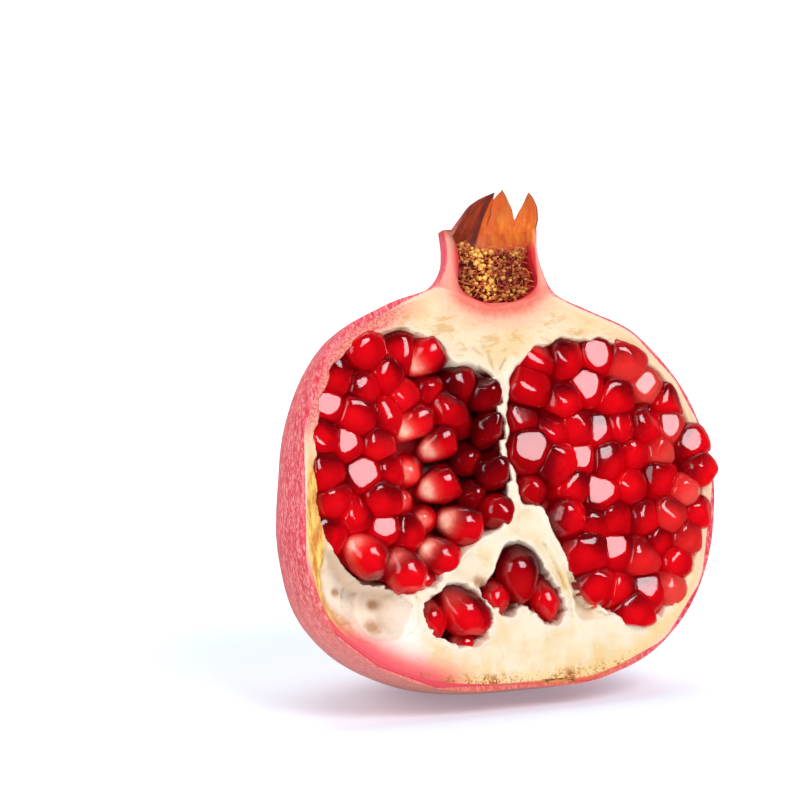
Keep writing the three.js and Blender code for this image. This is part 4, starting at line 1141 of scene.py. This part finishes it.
def stamens():
    numbers = seeded(STAMEN_SEED)
    template = ball(2)
    bpy.ops.mesh.primitive_uv_sphere_add(segments=THREAD_SIDES, ring_count=THREAD_STEPS, radius=1)
    thread_template = bpy.context.object
    pieces = [mound()]
    for n in range(STAMEN_COUNT):
        across = (next(numbers) * 2 - 1) * STAMEN_REACH
        # Two of three hang at the cut, and the third stands on the mound's top.
        if n % 3:
            height = HANG_LOW + HANG_HEIGHT * next(numbers)
            depth = HANG_FRONT + HANG_DEPTH * next(numbers)
            height = max(height, CUP_LOW + (abs(across) / CUP_RADIUS) ** 3 * CUP_RISE)
        else:
            left_rise = STAND_LEFT_RISE * float(ramp(across, -2, -7))
            height = MOUND_TOP + STAND_HEIGHT * next(numbers) + left_rise
            depth = STAND_FRONT + next(numbers) * math.sqrt(max(LEAST_REACH, STAND_REACH - across * across))
        tip = np.array([HOLLOW_X + across, depth, height])
        sideways = 0.9 * (next(numbers) - 0.5)
        forwards = 0.4 + 0.6 * next(numbers)
        way = np.array([sideways, -forwards, 0.8 * (next(numbers) - 0.3)])
        size = LEAST_SAC + SAC_SPREAD * next(numbers) ** 2
        tone = next(numbers)
        # The dark ones are thinned out on the left, where the hollow shows between them.
        if across < THIN_FROM and tone < DARK_TONE:
            continue
        sac = pollen_sac(template, tip, way / np.linalg.norm(way), size)
        stamen_channels(sac, SAC_GOLD, tone)
        root = tip + np.array([5 * (next(numbers) - 0.5), 0.7 + next(numbers), 4 * (next(numbers) - 0.6)])
        bow = np.array([2 * (next(numbers) - 0.5), -0.8 * next(numbers), 2 * (next(numbers) - 0.5)])
        hair = thread(thread_template, root, tip, bow)
        stamen_channels(hair, THREAD_GOLD, tone)
        pieces += [sac, hair]
    bpy.data.objects.remove(template)
    bpy.data.objects.remove(thread_template)
    return joined("crown_stamens", pieces)


tuft = stamens()
smooth(tuft, 50)
print("stamens", len(tuft.data.polygons), "faces")

# %% [markdown]
# ## Measuring the finish
# A finish changes over a piece: the skin's cut edge is paler than its outside, and the pith is yellow next
# to the skin. Such distances are measured once and kept on the mesh, so that a material can read them.

# %% Fields
def nearest(piece, points):
    """Distance from each point to a piece's surface."""
    tree = bmesh.new()
    tree.from_mesh(piece.data)
    finder = BVHTree.FromBMesh(tree)
    tree.free()
    return np.array([finder.find_nearest(Vector(p))[3] for p in points])


def normals_of(piece):
    normals = np.empty(len(piece.data.vertices) * 3, np.float32)
    piece.data.vertex_normals.foreach_get("vector", normals)
    return normals.reshape(-1, 3).astype(float)


TUBE_FLOOR, TUBE_ALL = 80, 84
INSIDE_TUBE = 10.5
STAIN_SHARE = 0.8
FOLD_SHADOW_WIDTH = 0.2

points = vertices_of(skin)
keep(skin, "under", np.clip(nearest(outside, points) / SKIN, 0, 1))
radial = points - (TUBE_X, 0, 0)
radial[:, 2] = 0
radial /= np.maximum(np.linalg.norm(radial, axis=1), 1e-6)[:, None]
inner = -(normals_of(skin) * radial).sum(1)
near_axis = np.hypot(points[:, 0] - HOLLOW_X, points[:, 1]) < INSIDE_TUBE
in_tube = (points[:, 2] > TUBE_ALL) | ((points[:, 2] > TUBE_FLOOR) & near_axis)
keep(skin, "inner", np.where(in_tube, ramp(inner, -0.2, 0.3), 0))
keep(skin, "hollow", to_line(points[:, [0, 2]], HOLLOW_LINE)[0])

flat = vertices_of(pith)[:, [0, 2]]
wander = wandering(flat)
stains = [bell(np.linalg.norm(flat - middle, axis=1), 0, STAIN_SHARE * width) for middle, width, _ in DENTS]
# Thin painted shadow lines follow the folds.
painted_fold_shadows = [bell(to_line(flat + wander, fold)[0], 0, FOLD_SHADOW_WIDTH) for fold in FOLDS]
keep(pith, "skinward", to_outline(flat, EDGE_LOOP)[0])
keep(pith, "hollow", to_line(flat, HOLLOW_LINE)[0])
keep(pith, "chamber", wells_at(flat)[0])
keep(pith, "stain", sum(stains))
keep(pith, "painted_fold_shadow", sum(painted_fold_shadows))
bpy.data.objects.remove(outside)
print("fields kept")
smooth(skin, 40)
smooth(pith, 60)

# %% [markdown]
# ## Shader helpers
# A material is a small sum over its sockets. This class wraps one socket, so that sums, noises and ramps
# read as plain expressions, and each of them adds its node. Most colours are layers of paint: a mask, how
# strongly it covers, and its tint. The limits in a mask's steps are millimetres on the fruit, or shares of
# a noise or of a kept value.

# %% Sums on sockets
class Wire:
    """One output of a shader node. Arithmetic on it adds Math nodes."""

    def __init__(self, tree, socket=None):
        self.tree = tree
        self.socket = socket

    def add(self, kind, settings=None, values=None, output=0):
        """A new node with its settings and input values, as the wire of one of its outputs."""
        node = self.tree.nodes.new(kind)
        for name, value in (settings or {}).items():
            setattr(node, name, value)
        for name, value in (values or {}).items():
            if isinstance(value, Wire):
                self.tree.links.new(value.socket, node.inputs[name])
            else:
                node.inputs[name].default_value = value
        return Wire(self.tree, node.outputs[output])

    def sum(self, operation, *values):
        return self.add("ShaderNodeMath", {"operation": operation}, dict(enumerate(values)))

    def __add__(self, other):
        return self.sum("ADD", self, other)

    def __radd__(self, other):
        return self.sum("ADD", other, self)

    def __sub__(self, other):
        return self.sum("SUBTRACT", self, other)

    def __rsub__(self, other):
        return self.sum("SUBTRACT", other, self)

    def __mul__(self, other):
        return self.sum("MULTIPLY", self, other)

    def __rmul__(self, other):
        return self.sum("MULTIPLY", other, self)

    def __abs__(self):
        return self.sum("ABSOLUTE", self)

    def step(self, start, end, low=0.0, high=1.0):
        """A soft step from low to high as this value goes from start to end."""
        return self.add("ShaderNodeMapRange", {"interpolation_type": "SMOOTHSTEP"},
                        {"Value": self, "From Min": start, "From Max": end, "To Min": low, "To Max": high})

    def mix(self, a, b):
        """The colour a where this value is 0 and b where it is 1: wires, or three numbers up to 255."""
        a, b = (each if isinstance(each, Wire) else srgb(*each) for each in (a, b))
        settings = {"data_type": "RGBA", "clamp_factor": True}
        return self.add("ShaderNodeMix", settings, {0: self, 6: a, 7: b}, 2)

    def noise(self, scale, detail, roughness, stretch=(1, 1, 1)):
        """Noise at this place, with a scale for each millimetre."""
        place = self.add("ShaderNodeVectorMath", {"operation": "MULTIPLY"}, {0: self, 1: stretch})
        return self.add("ShaderNodeTexNoise", None,
                        {"Vector": place, "Scale": scale, "Detail": detail, "Roughness": roughness})

    def axes(self):
        return [self.add("ShaderNodeSeparateXYZ", None, {0: self}, which) for which in range(3)]

    def kept(self, name, output="Fac"):
        """A value that the mesh keeps at each of its points."""
        return self.add("ShaderNodeAttribute", {"attribute_name": name}, None, output)

    def part(self, name):
        return self.add("ShaderNodeSeparateColor", None, {0: self}, name)

    def bump(self, distance, strength):
        return self.add("ShaderNodeBump", None, {"Height": self, "Distance": distance, "Strength": strength})


def srgb(red, green, blue):
    """A colour given from 0 to 255, as the eye judges it, in the linear form that the renderer adds up."""
    shares = [value / 255 for value in (red, green, blue)]
    linear = [share / 12.92 if share < 0.04 else ((share + 0.055) / 1.055) ** 2.4 for share in shares]
    return (*linear, 1.0)


def painted(colour, *layers):
    """Lays tints over a colour in turn. Each layer is a mask, its strength and its tint."""
    for mask, strength, tint in layers:
        colour = (mask * strength).mix(colour, tint)
    return colour


# %% Materials
MM_PER_METRE = 1000


def finish_of(name):
    """A new material, its first wire, the place on the fruit in millimetres and its surface shader."""
    material = bpy.data.materials.new(name)
    material.use_nodes = True
    wire = Wire(material.node_tree)
    corner = wire.add("ShaderNodeTexCoord", None, None, "Object")
    place = wire.add("ShaderNodeMapping", None,
                     {"Vector": corner, "Location": STAND.inverted().to_translation(),
                      "Rotation": (LEAN, 0, 0), "Scale": [MM_PER_METRE] * 3})
    surface = next(node for node in material.node_tree.nodes if node.type == "BSDF_PRINCIPLED")
    return material, wire, place, surface


def connect(node, **values):
    """Sets a node's sockets: a wire is linked and a number or colour is set."""
    for name, value in values.items():
        socket = node.inputs[name.replace("_", " ")]
        if isinstance(value, Wire):
            value.tree.links.new(value.socket, socket)
        else:
            socket.default_value = value


def crown_blush(colour, hollow, height, fibre):
    """Flesh round the crown's hollow: orange-red at its floor, pink beyond, the same on skin and pith."""
    reach = hollow + 2.4 * (fibre - 0.5)
    return painted(
        colour,
        (reach.step(8.5, 2.5) * height.step(70, 76), 0.8, (246, 178, 150)),
        (reach.step(4.6, 0.8) * height.step(84.5, 81.5), 0.85, (222, 78, 60)))


# %% [markdown]
# ## The skin's finish
# The outside is waxy red with fine streaks from crown to base and small yellow-brown flecks. Where it is
# cut, the thin wall turns from crimson to salmon. Inside the crown it is orange, browner towards the
# sepals' tips.

# %% Skin finish
def outer_skin(place, streak, mottle, grains, tube):
    """The outside: brighter at the cut, deeper red behind, and brownish at the base. Low on the left it is
    paler, a painted reflection of the floor.
    """
    across, depth, height = place.axes()
    patches = place.noise(0.22, 3, 0.6)
    back = painted(
        mottle.step(0.35, 0.62).mix((176, 8, 30), (206, 34, 46)),
        (streak.step(0.46, 0.7), 0.5, (222, 84, 80)),
        (grains.step(0.54, 0.68) * patches.step(0.4, 0.62), 0.8, (238, 152, 92)),
        (grains.step(0.44, 0.34), 0.5, (150, 0, 26)))
    return painted(
        mottle.step(0.35, 0.65).mix((214, 14, 50), (226, 42, 66)),
        (streak.step(0.42, 0.66), 0.75, (240, 112, 118)),
        (grains.step(0.5, 0.6), 0.7, (255, 172, 168)),
        (grains.step(0.46, 0.36), 0.75, (190, 0, 44)),
        (patches.step(0.54, 0.76) * grains.step(0.45, 0.62), 0.7, (226, 146, 90)),
        (depth.step(12, 30), 0.85, back),
        # Painted reflection of the white floor: paler low on the left.
        (height.step(34, 8) * (0 - across).step(8, 30), 0.45, (232, 150, 128)),
        (height.step(7, 1), 0.5, (214, 120, 80)),
        (tube, 0.7, (232, 66, 88)))


def cut_skin(wire, place, streak, grains, tube):
    """The wall where it is cut: crimson outside and salmon inside, with a brown notch at the base."""
    across, _, height = place.axes()
    leftwards = 0 - across
    under = wire.kept("under")
    low_left = height.step(36, 22) * leftwards.step(4, 14)
    base = height.step(6, 2.5) * (1 - 0.5 * low_left)
    inside = painted(
        (low_left * 0.9).mix((246, 206, 172), (226, 30, 66)),
        (base, 1, across.step(-9, 0).mix((218, 52, 74), (224, 96, 60))),
        (tube, 0.9, (244, 176, 142)))
    outside = (low_left * 0.8).mix((198, 62, 82), (216, 20, 60))
    creamy = (under + 0.6 * (grains - 0.5)).step(0.6, 1.0) * height.step(84, 60) * (1 - low_left)
    rosy = leftwards.step(14, 28) * height.step(50, 60) * height.step(84, 78)
    cut = painted(
        (under + 0.5 * (grains - 0.5)).step(0.12, 0.42).mix(outside, inside),
        (creamy, 0.8, (240, 202, 152)),
        (rosy, 0.85, grains.step(0.42, 0.6).mix((196, 24, 66), (236, 110, 120))))
    notch = across.step(-0.5, 0.8) * across.step(8.6, 7.6) * height.step(4, 2.6)
    bark = place.noise(0.9, 3, 0.6, (0.5, 1, 2.4)).step(0.46, 0.6).mix((214, 134, 66), (110, 52, 16))
    return notch.mix(crown_blush(cut, wire.kept("hollow"), height, streak), bark)


def crown_lining(place):
    """The tube's inside and the sepals' inner sides. A seam parts the left sepal, browner and with painted
    shade, from the others.
    """
    across, _, height = place.axes()
    flame = place.noise(0.6, 4, 0.7, (1, 1, 0.3))
    seam = across - 2.8 - 0.35 * (height - 95.8)
    sepals = painted(
        flame.step(0.35, 0.7).mix((222, 90, 14), (244, 142, 44)),
        (height.step(97, 105.5) * flame.step(0.3, 0.6), 0.7, (136, 54, 30)))
    # The left sepal is browner and carries painted shade, darkest in a band by the seam.
    shaded_left_sepal = painted(
        flame.step(0.35, 0.65).mix((170, 64, 22), (120, 40, 24)),
        (seam.step(-2.6, -0.6), 0.8, (92, 28, 30)))
    return height.step(90.5, 94).mix((206, 24, 34), seam.step(0.25, -0.25).mix(sepals, shaded_left_sepal))


def skin_finish():
    material, wire, place, surface = finish_of("pomegranate_skin")
    _, depth, height = place.axes()
    inner = wire.kept("inner")
    streak = place.noise(0.8, 4, 0.65, (1, 1, 0.1))
    mottle = place.noise(0.07, 3, 0.55)
    grains = place.noise(1.5, 3, 0.85, (1, 1, 0.5))
    tube = height.step(80, 90)
    at_cut = depth.step(0.25, 0.03) * wire.kept("under").step(0.02, 0.1)
    sepal_back = place.noise(0.8, 3, 0.6, (1, 1, 0.2)).step(0.35, 0.7).mix((170, 40, 36), (206, 92, 56))
    colour = painted(
        outer_skin(place, streak, mottle, grains, tube),
        (at_cut, 1, cut_skin(wire, place, streak, grains, tube)),
        (height.step(93, 97), 1, sepal_back),
        (inner, 1, crown_lining(place)),
        (inner * (1 - inner) * height.step(94.5, 97), 3.2, (84, 34, 26)))
    pits = place.noise(1.1, 3, 0.6) + 0.4 * place.noise(3.6, 2, 0.5)
    rough = 0.34 + 0.16 * mottle + 0.25 * inner + 0.2 * height.step(92, 98)
    connect(surface, Base_Color=colour, Roughness=rough, Normal=(pits + 0.7 * streak).bump(0.00022, 0.5),
            Subsurface_Weight=0.12, Subsurface_Radius=(1.0, 0.3, 0.2), Subsurface_Scale=0.0012,
            Coat_Weight=0.12, Coat_Roughness=0.3)
    return material


skin_material = skin_finish()

# %% [markdown]
# ## The pith's finish
# Fresh pith is cream, a little pink next to the red skin and yellow-brown where it has bruised or torn. It
# is matt, and light spreads inside it, which softens its shadows.

# %% Pith finish
def fresh_pith(wire, place, cloud, fibre, specks):
    """Cream with faint fibres, ochre smears near the crown and a blush next to the skin."""
    across, _, height = place.axes()
    leftwards = 0 - across
    skinward = wire.kept("skinward")
    smear = place.noise(0.32, 4, 0.65, (0.6, 1, 1.7))
    near_skin = (skinward + 3.2 * (fibre - 0.5)).step(4.8, 1.6)
    rosy = leftwards.step(14, 28) * height.step(50, 60) * (skinward + 2.4 * (fibre - 0.5)).step(6.5, 2.4)
    cream = painted(
        cloud.step(0.38, 0.66).mix((240, 226, 198), (234, 208, 158)),
        (leftwards.step(24, 29) * height.step(31, 26), 0.8, (250, 240, 228)),
        (wire.kept("chamber").step(-2.0, -0.2), 0.7, (240, 228, 210)),
        (fibre.step(0.58, 0.72), 0.35, (226, 194, 140)),
        (height.step(62, 80) * specks.step(0.52, 0.66), 0.5, (214, 176, 110)),
        (height.step(60, 72), 0.35, (222, 186, 138)),
        (height.step(66, 72) * height.step(82, 77) * smear.step(0.5, 0.62), 0.6, (206, 160, 92)),
        (near_skin, 0.8, height.step(14, 24).mix((240, 206, 138), (241, 202, 156))),
        (rosy, 0.85, specks.step(0.42, 0.6).mix((206, 48, 74), (240, 140, 124))))
    return crown_blush(cream, wire.kept("hollow"), height, fibre)


def bruised(cream, wire, place, cloud, fibre, specks):
    """The same with its stains: pink and brown at the edge, and red in the chambers. Painted shade darkens
    its folds in thin lines and its deeper parts a little.
    """
    across, depth, height = place.axes()
    leftwards = 0 - across
    skinward, chamber = wire.kept("skinward"), wire.kept("chamber")
    stain, painted_fold_shadow = wire.kept("stain"), wire.kept("painted_fold_shadow")
    strand = place.noise(0.7, 4, 0.7, (1, 1, 0.22)).step(0.38, 0.62)
    patchy = place.noise(0.22, 3, 0.6, (1, 1, 0.4))
    flecks = (specks + 0.9 * (patchy - 0.5)).step(0.5, 0.62)
    low_left = leftwards.step(13, 24) * height.step(26, 12) * (skinward + 1.6 * (cloud - 0.5)).step(8, 1.6)
    left_edge = leftwards.step(36, 41) * height.step(54, 46) * height.step(12, 22) * skinward.step(6.4, 4.4)
    base = height.step(8, 3.4) * flecks * (skinward + 2.4 * (fibre - 0.5)).step(4.4, 1.8)
    septum = across.step(-6, -3) * across.step(5, 2.5) * height.step(37, 42) * height.step(71, 66)
    return painted(
        cream,
        (low_left, 1, (238, 96, 104)),
        (left_edge, 1, strand.mix((240, 206, 110), (206, 122, 52))),
        (height.step(10, 4) * patchy.step(0.5, 0.62) * (1 - low_left), 0.5, (236, 196, 120)),
        (base, 1, fibre.step(0.4, 0.6).mix((150, 70, 30), (204, 128, 56))),
        ((stain * (0.6 + 0.8 * fibre)).step(0.15, 1.0), 0.9, (180, 124, 80)),
        # Painted shade: a little darker the deeper the pith lies behind the cut.
        (depth.step(1.2, 6.5), 0.2, (230, 200, 170)),
        # Painted shadow lines along the folds.
        (painted_fold_shadow.step(0.4, 1.0) * fibre.step(0.35, 0.6), 0.4, (160, 120, 96)),
        (septum * depth.step(0.7, 1.5), 1, (128, 22, 26)),
        (chamber.step(0.2, 1.4), 1, (150, 34, 30)))


def pith_finish():
    material, wire, place, surface = finish_of("pomegranate_pith")
    cloud = place.noise(0.12, 3, 0.55)
    fibre = place.noise(0.9, 4, 0.6)
    specks = place.noise(1.8, 2, 0.7)
    cream = fresh_pith(wire, place, cloud, fibre, specks)
    cream = bruised(cream, wire, place, cloud, fibre, specks)
    bump = (fibre + 0.5 * place.noise(2.6, 3, 0.6)).bump(0.00028, 0.7)
    connect(surface, Base_Color=cream, Roughness=0.62 - 0.2 * cloud, Normal=bump, Specular_IOR_Level=0.25,
            Subsurface_Weight=0.25, Subsurface_Radius=(1.0, 0.7, 0.5), Subsurface_Scale=0.0015)
    return material


pith_material = pith_finish()

# %% [markdown]
# ## The arils' finish
# The sac is clear red juice under a wet skin, and its seed shines through, pale near the root. It also
# carries
# painted light and shade: a brighter side, darker sides, deep shade by the septum, and a faint painted glow.

# %% Aril finish
def aril_finish():
    material, wire, place, surface = finish_of("aril_juice")
    along, tone, shade = (wire.kept("sac", "Color").part(name) for name in ("Red", "Green", "Blue"))
    lies = wire.kept("sac", "Alpha")
    veins = place.noise(0.5, 3, 0.6)
    strands = place.noise(0.9, 3, 0.6)
    root = along.step(0.5, 0.1) * lies * (1 - 0.75 * shade)
    # lit is painted light: it makes each sac's bright side and its shining facet lighter.
    lit = (wire.kept("painted_light") + 0.3 * (strands - 0.5)).step(0.34, 0.86)
    ripe = tone.step(0.45, 1.0)
    clear = tone.step(0.55, 1.0)
    # deep and bright are the painted shaded and lit sides of the sac, in ripe and clear tones.
    deep = clear.mix(ripe.mix((122, 0, 14), (168, 2, 22)), (230, 50, 52))
    bright = clear.mix(ripe.mix((252, 6, 26), (255, 24, 36)), (255, 96, 84))
    # The juice is darkened by painted shade in the valley beside the septum.
    juice = painted(tone.step(0.0, 1.0).mix((240, 16, 34), (255, 44, 50)), (shade, 0.9, (150, 0, 14)))
    flesh = painted(
        lit.mix(deep, bright),
        (root * (0.7 + 0.6 * strands), 1.6, (250, 110, 96)),
        ((root * (0.5 + 0.9 * strands)).step(0.25, 0.9), 1, (252, 218, 190)),
        # The last layer is painted shade for the arils in the valley.
        (shade, 0.85, lit.mix((84, 0, 8), (150, 0, 10))))
    # shine is the emission colour: a painted glow that lights the flesh though it is no lamp, weaker at the
    # pale root.
    shine = (0.45 - 0.45 * root).mix(flesh, (0, 0, 0))
    wet = {"Roughness": 0.05 + 0.08 * veins, "Normal": veins.bump(0.0003, 0.12), "IOR": 1.45,
           "Specular_IOR_Level": 1.0}
    connect(surface, Base_Color=juice, Transmission_Weight=1.0, **wet)
    pulp = wire.add("ShaderNodeBsdfPrincipled")
    connect(pulp.socket.node, Base_Color=flesh, Emission_Color=shine, Emission_Strength=0.4,
            Subsurface_Weight=1.0, Subsurface_Radius=(1.0, 0.14, 0.12), Subsurface_Scale=0.0035, **wet)
    share = 0.4 + 0.45 * root + 0.15 * tone
    both = wire.add("ShaderNodeMixShader", None, {0: share, 1: Wire(wire.tree, surface.outputs[0]), 2: pulp})
    connect(next(node for node in wire.tree.nodes if node.type == "OUTPUT_MATERIAL"), Surface=both)
    return material


def seed_finish():
    material, wire, place, surface = finish_of("aril_seed")
    shade = wire.kept("sac", "Color").part("Blue")
    fibre = place.noise(0.9, 3, 0.6)
    across = place.axes()[0]
    # Painted shade: seeds in the valley are darkened, and the mass behind the arils is dark near the septum
    # and lighter red towards the chambers' outer sides.
    pale = painted(fibre.step(0.35, 0.7).mix((250, 226, 206), (236, 176, 160)), (shade, 0.7, (150, 60, 56)))
    outer = across.step(2, 10) + across.step(-16, -26)
    mass = outer.mix(fibre.step(0.4, 0.7).mix((50, 0, 4), (96, 2, 10)), (190, 4, 20))
    connect(surface, Base_Color=wire.kept("sac", "Alpha").mix(mass, pale), Roughness=0.5,
            Normal=fibre.bump(0.0002, 0.3), Specular_IOR_Level=0.2)
    return material


aril_material = aril_finish()
seed_material = seed_finish()

# %% [markdown]
# ## The stamens' finish
# Dried pollen sacs are golden and dull, their threads brown, and the gaps between them maroon.

# %% Stamen finish
def stamen_finish():
    material, wire, place, surface = finish_of("dried_stamens")
    gold, tone = (wire.kept("stamen", "Color").part(name) for name in ("Red", "Green"))
    speck = place.noise(2.4, 3, 0.6)
    column = abs(place.axes()[0] + 1.6).step(3.8, 0.6)
    sacs = painted(
        (0.7 * tone + 0.6 * column).step(0.15, 1.1).mix((150, 44, 18), (255, 200, 92)),
        (speck.step(0.5, 0.7), 0.5, (160, 62, 18)))
    colour = painted(
        speck.step(0.35, 0.65).mix((84, 4, 10), (156, 30, 16)),
        (gold.step(0.1, 0.3), 1, tone.mix((192, 54, 38), (222, 124, 54))),
        (gold.step(0.6, 0.9), 1, sacs))
    connect(surface, Base_Color=colour, Roughness=0.6 + 0.2 * speck, Normal=speck.bump(0.0001, 0.4))
    return material


stamen_material = stamen_finish()

# %% Dress the pieces
def dress(piece, material, slot, *nodes):
    """Gives a piece its one material and stands it in its place for its nodes. The slot is not used."""
    piece.data.materials.clear()
    piece.data.materials.append(material)
    piece.data.polygons.foreach_set("material_index", np.zeros(len(piece.data.polygons), np.int32))
    stand_up(piece, *nodes)


dress(skin, skin_material, "rind", "rind")
dress(pith, pith_material, "pith", "pith")
for name, piece in bunches.items():
    dress(piece, aril_material, "arils", name)
    dress(seed_sets[name], seed_material, "arils", name)
dress(tuft, stamen_material, "stamens", "stamens")

# %% [markdown]
# ## Floor and light
# The half stands on a plain white floor. One large soft light in front gives the arils their broad
# highlights. The bright surroundings behind and a painted glow in the floor keep it white and the shadow
# faint.

# %% Studio
FLOOR_SIZE = 20
LIT_POINT = (0, 0, 0.045)


def area_light(name, place, size, power, colour=(1, 1, 1)):
    """A soft box that shines at the fruit's middle."""
    bpy.ops.object.light_add(type="AREA", location=place)
    light = bpy.context.object
    light.name = name
    light.data.shape = "RECTANGLE"
    light.data.size, light.data.size_y = size
    light.data.energy = power
    light.data.color = colour
    light.rotation_euler = (Vector(place) - Vector(LIT_POINT)).to_track_quat("Z", "Y").to_euler()


bpy.ops.mesh.primitive_plane_add(size=FLOOR_SIZE, location=(0, 0, 0))
floor = bpy.context.object
floor.name = "floor"
floor.visible_glossy = False
floor_material, wire, place, surface = finish_of("white_floor")
# Painted light: the floor's emission is a glow that keeps it white, weaker near the half so that its shadow
# shows.
far = place.add("ShaderNodeVectorMath", {"operation": "LENGTH"}, {0: place}, 1)
near = far.step(20, 300).mix((130, 133, 144), (162, 162, 166))
painted_light = far.step(120, 900).mix(near, (225, 225, 228))
connect(surface, Base_Color=(0.7, 0.8, 0.85, 1), Roughness=0.6, Emission_Color=painted_light, Emission_Strength=1.0)
floor.data.materials.append(floor_material)

area_light("front_box", (0.12, -0.9, 0.8), (0.6, 0.6), 10.8, (1.0, 0.96, 1.0))
area_light("left_box", (-1.0, -0.3, 0.5), (0.5, 0.8), 4.0)
area_light("top_box", (0.1, 0.45, 1.1), (0.8, 0.8), 4.5)

world = bpy.data.worlds.new("studio")
bpy.context.scene.world = world
world.use_nodes = True
air = Wire(world.node_tree)
way = air.add("ShaderNodeTexCoord", None, None, "Generated")
gloss = air.add("ShaderNodeLightPath", None, None, "Is Glossy Ray")
bright = way.axes()[1].step(-0.25, 0.3, 0.06, 1.05) * (1 - 0.65 * gloss)
connect(world.node_tree.nodes["Background"], Strength=bright, Color=(0.98, 0.98, 1.0, 1))
bpy.context.scene.view_settings.view_transform = "Standard"
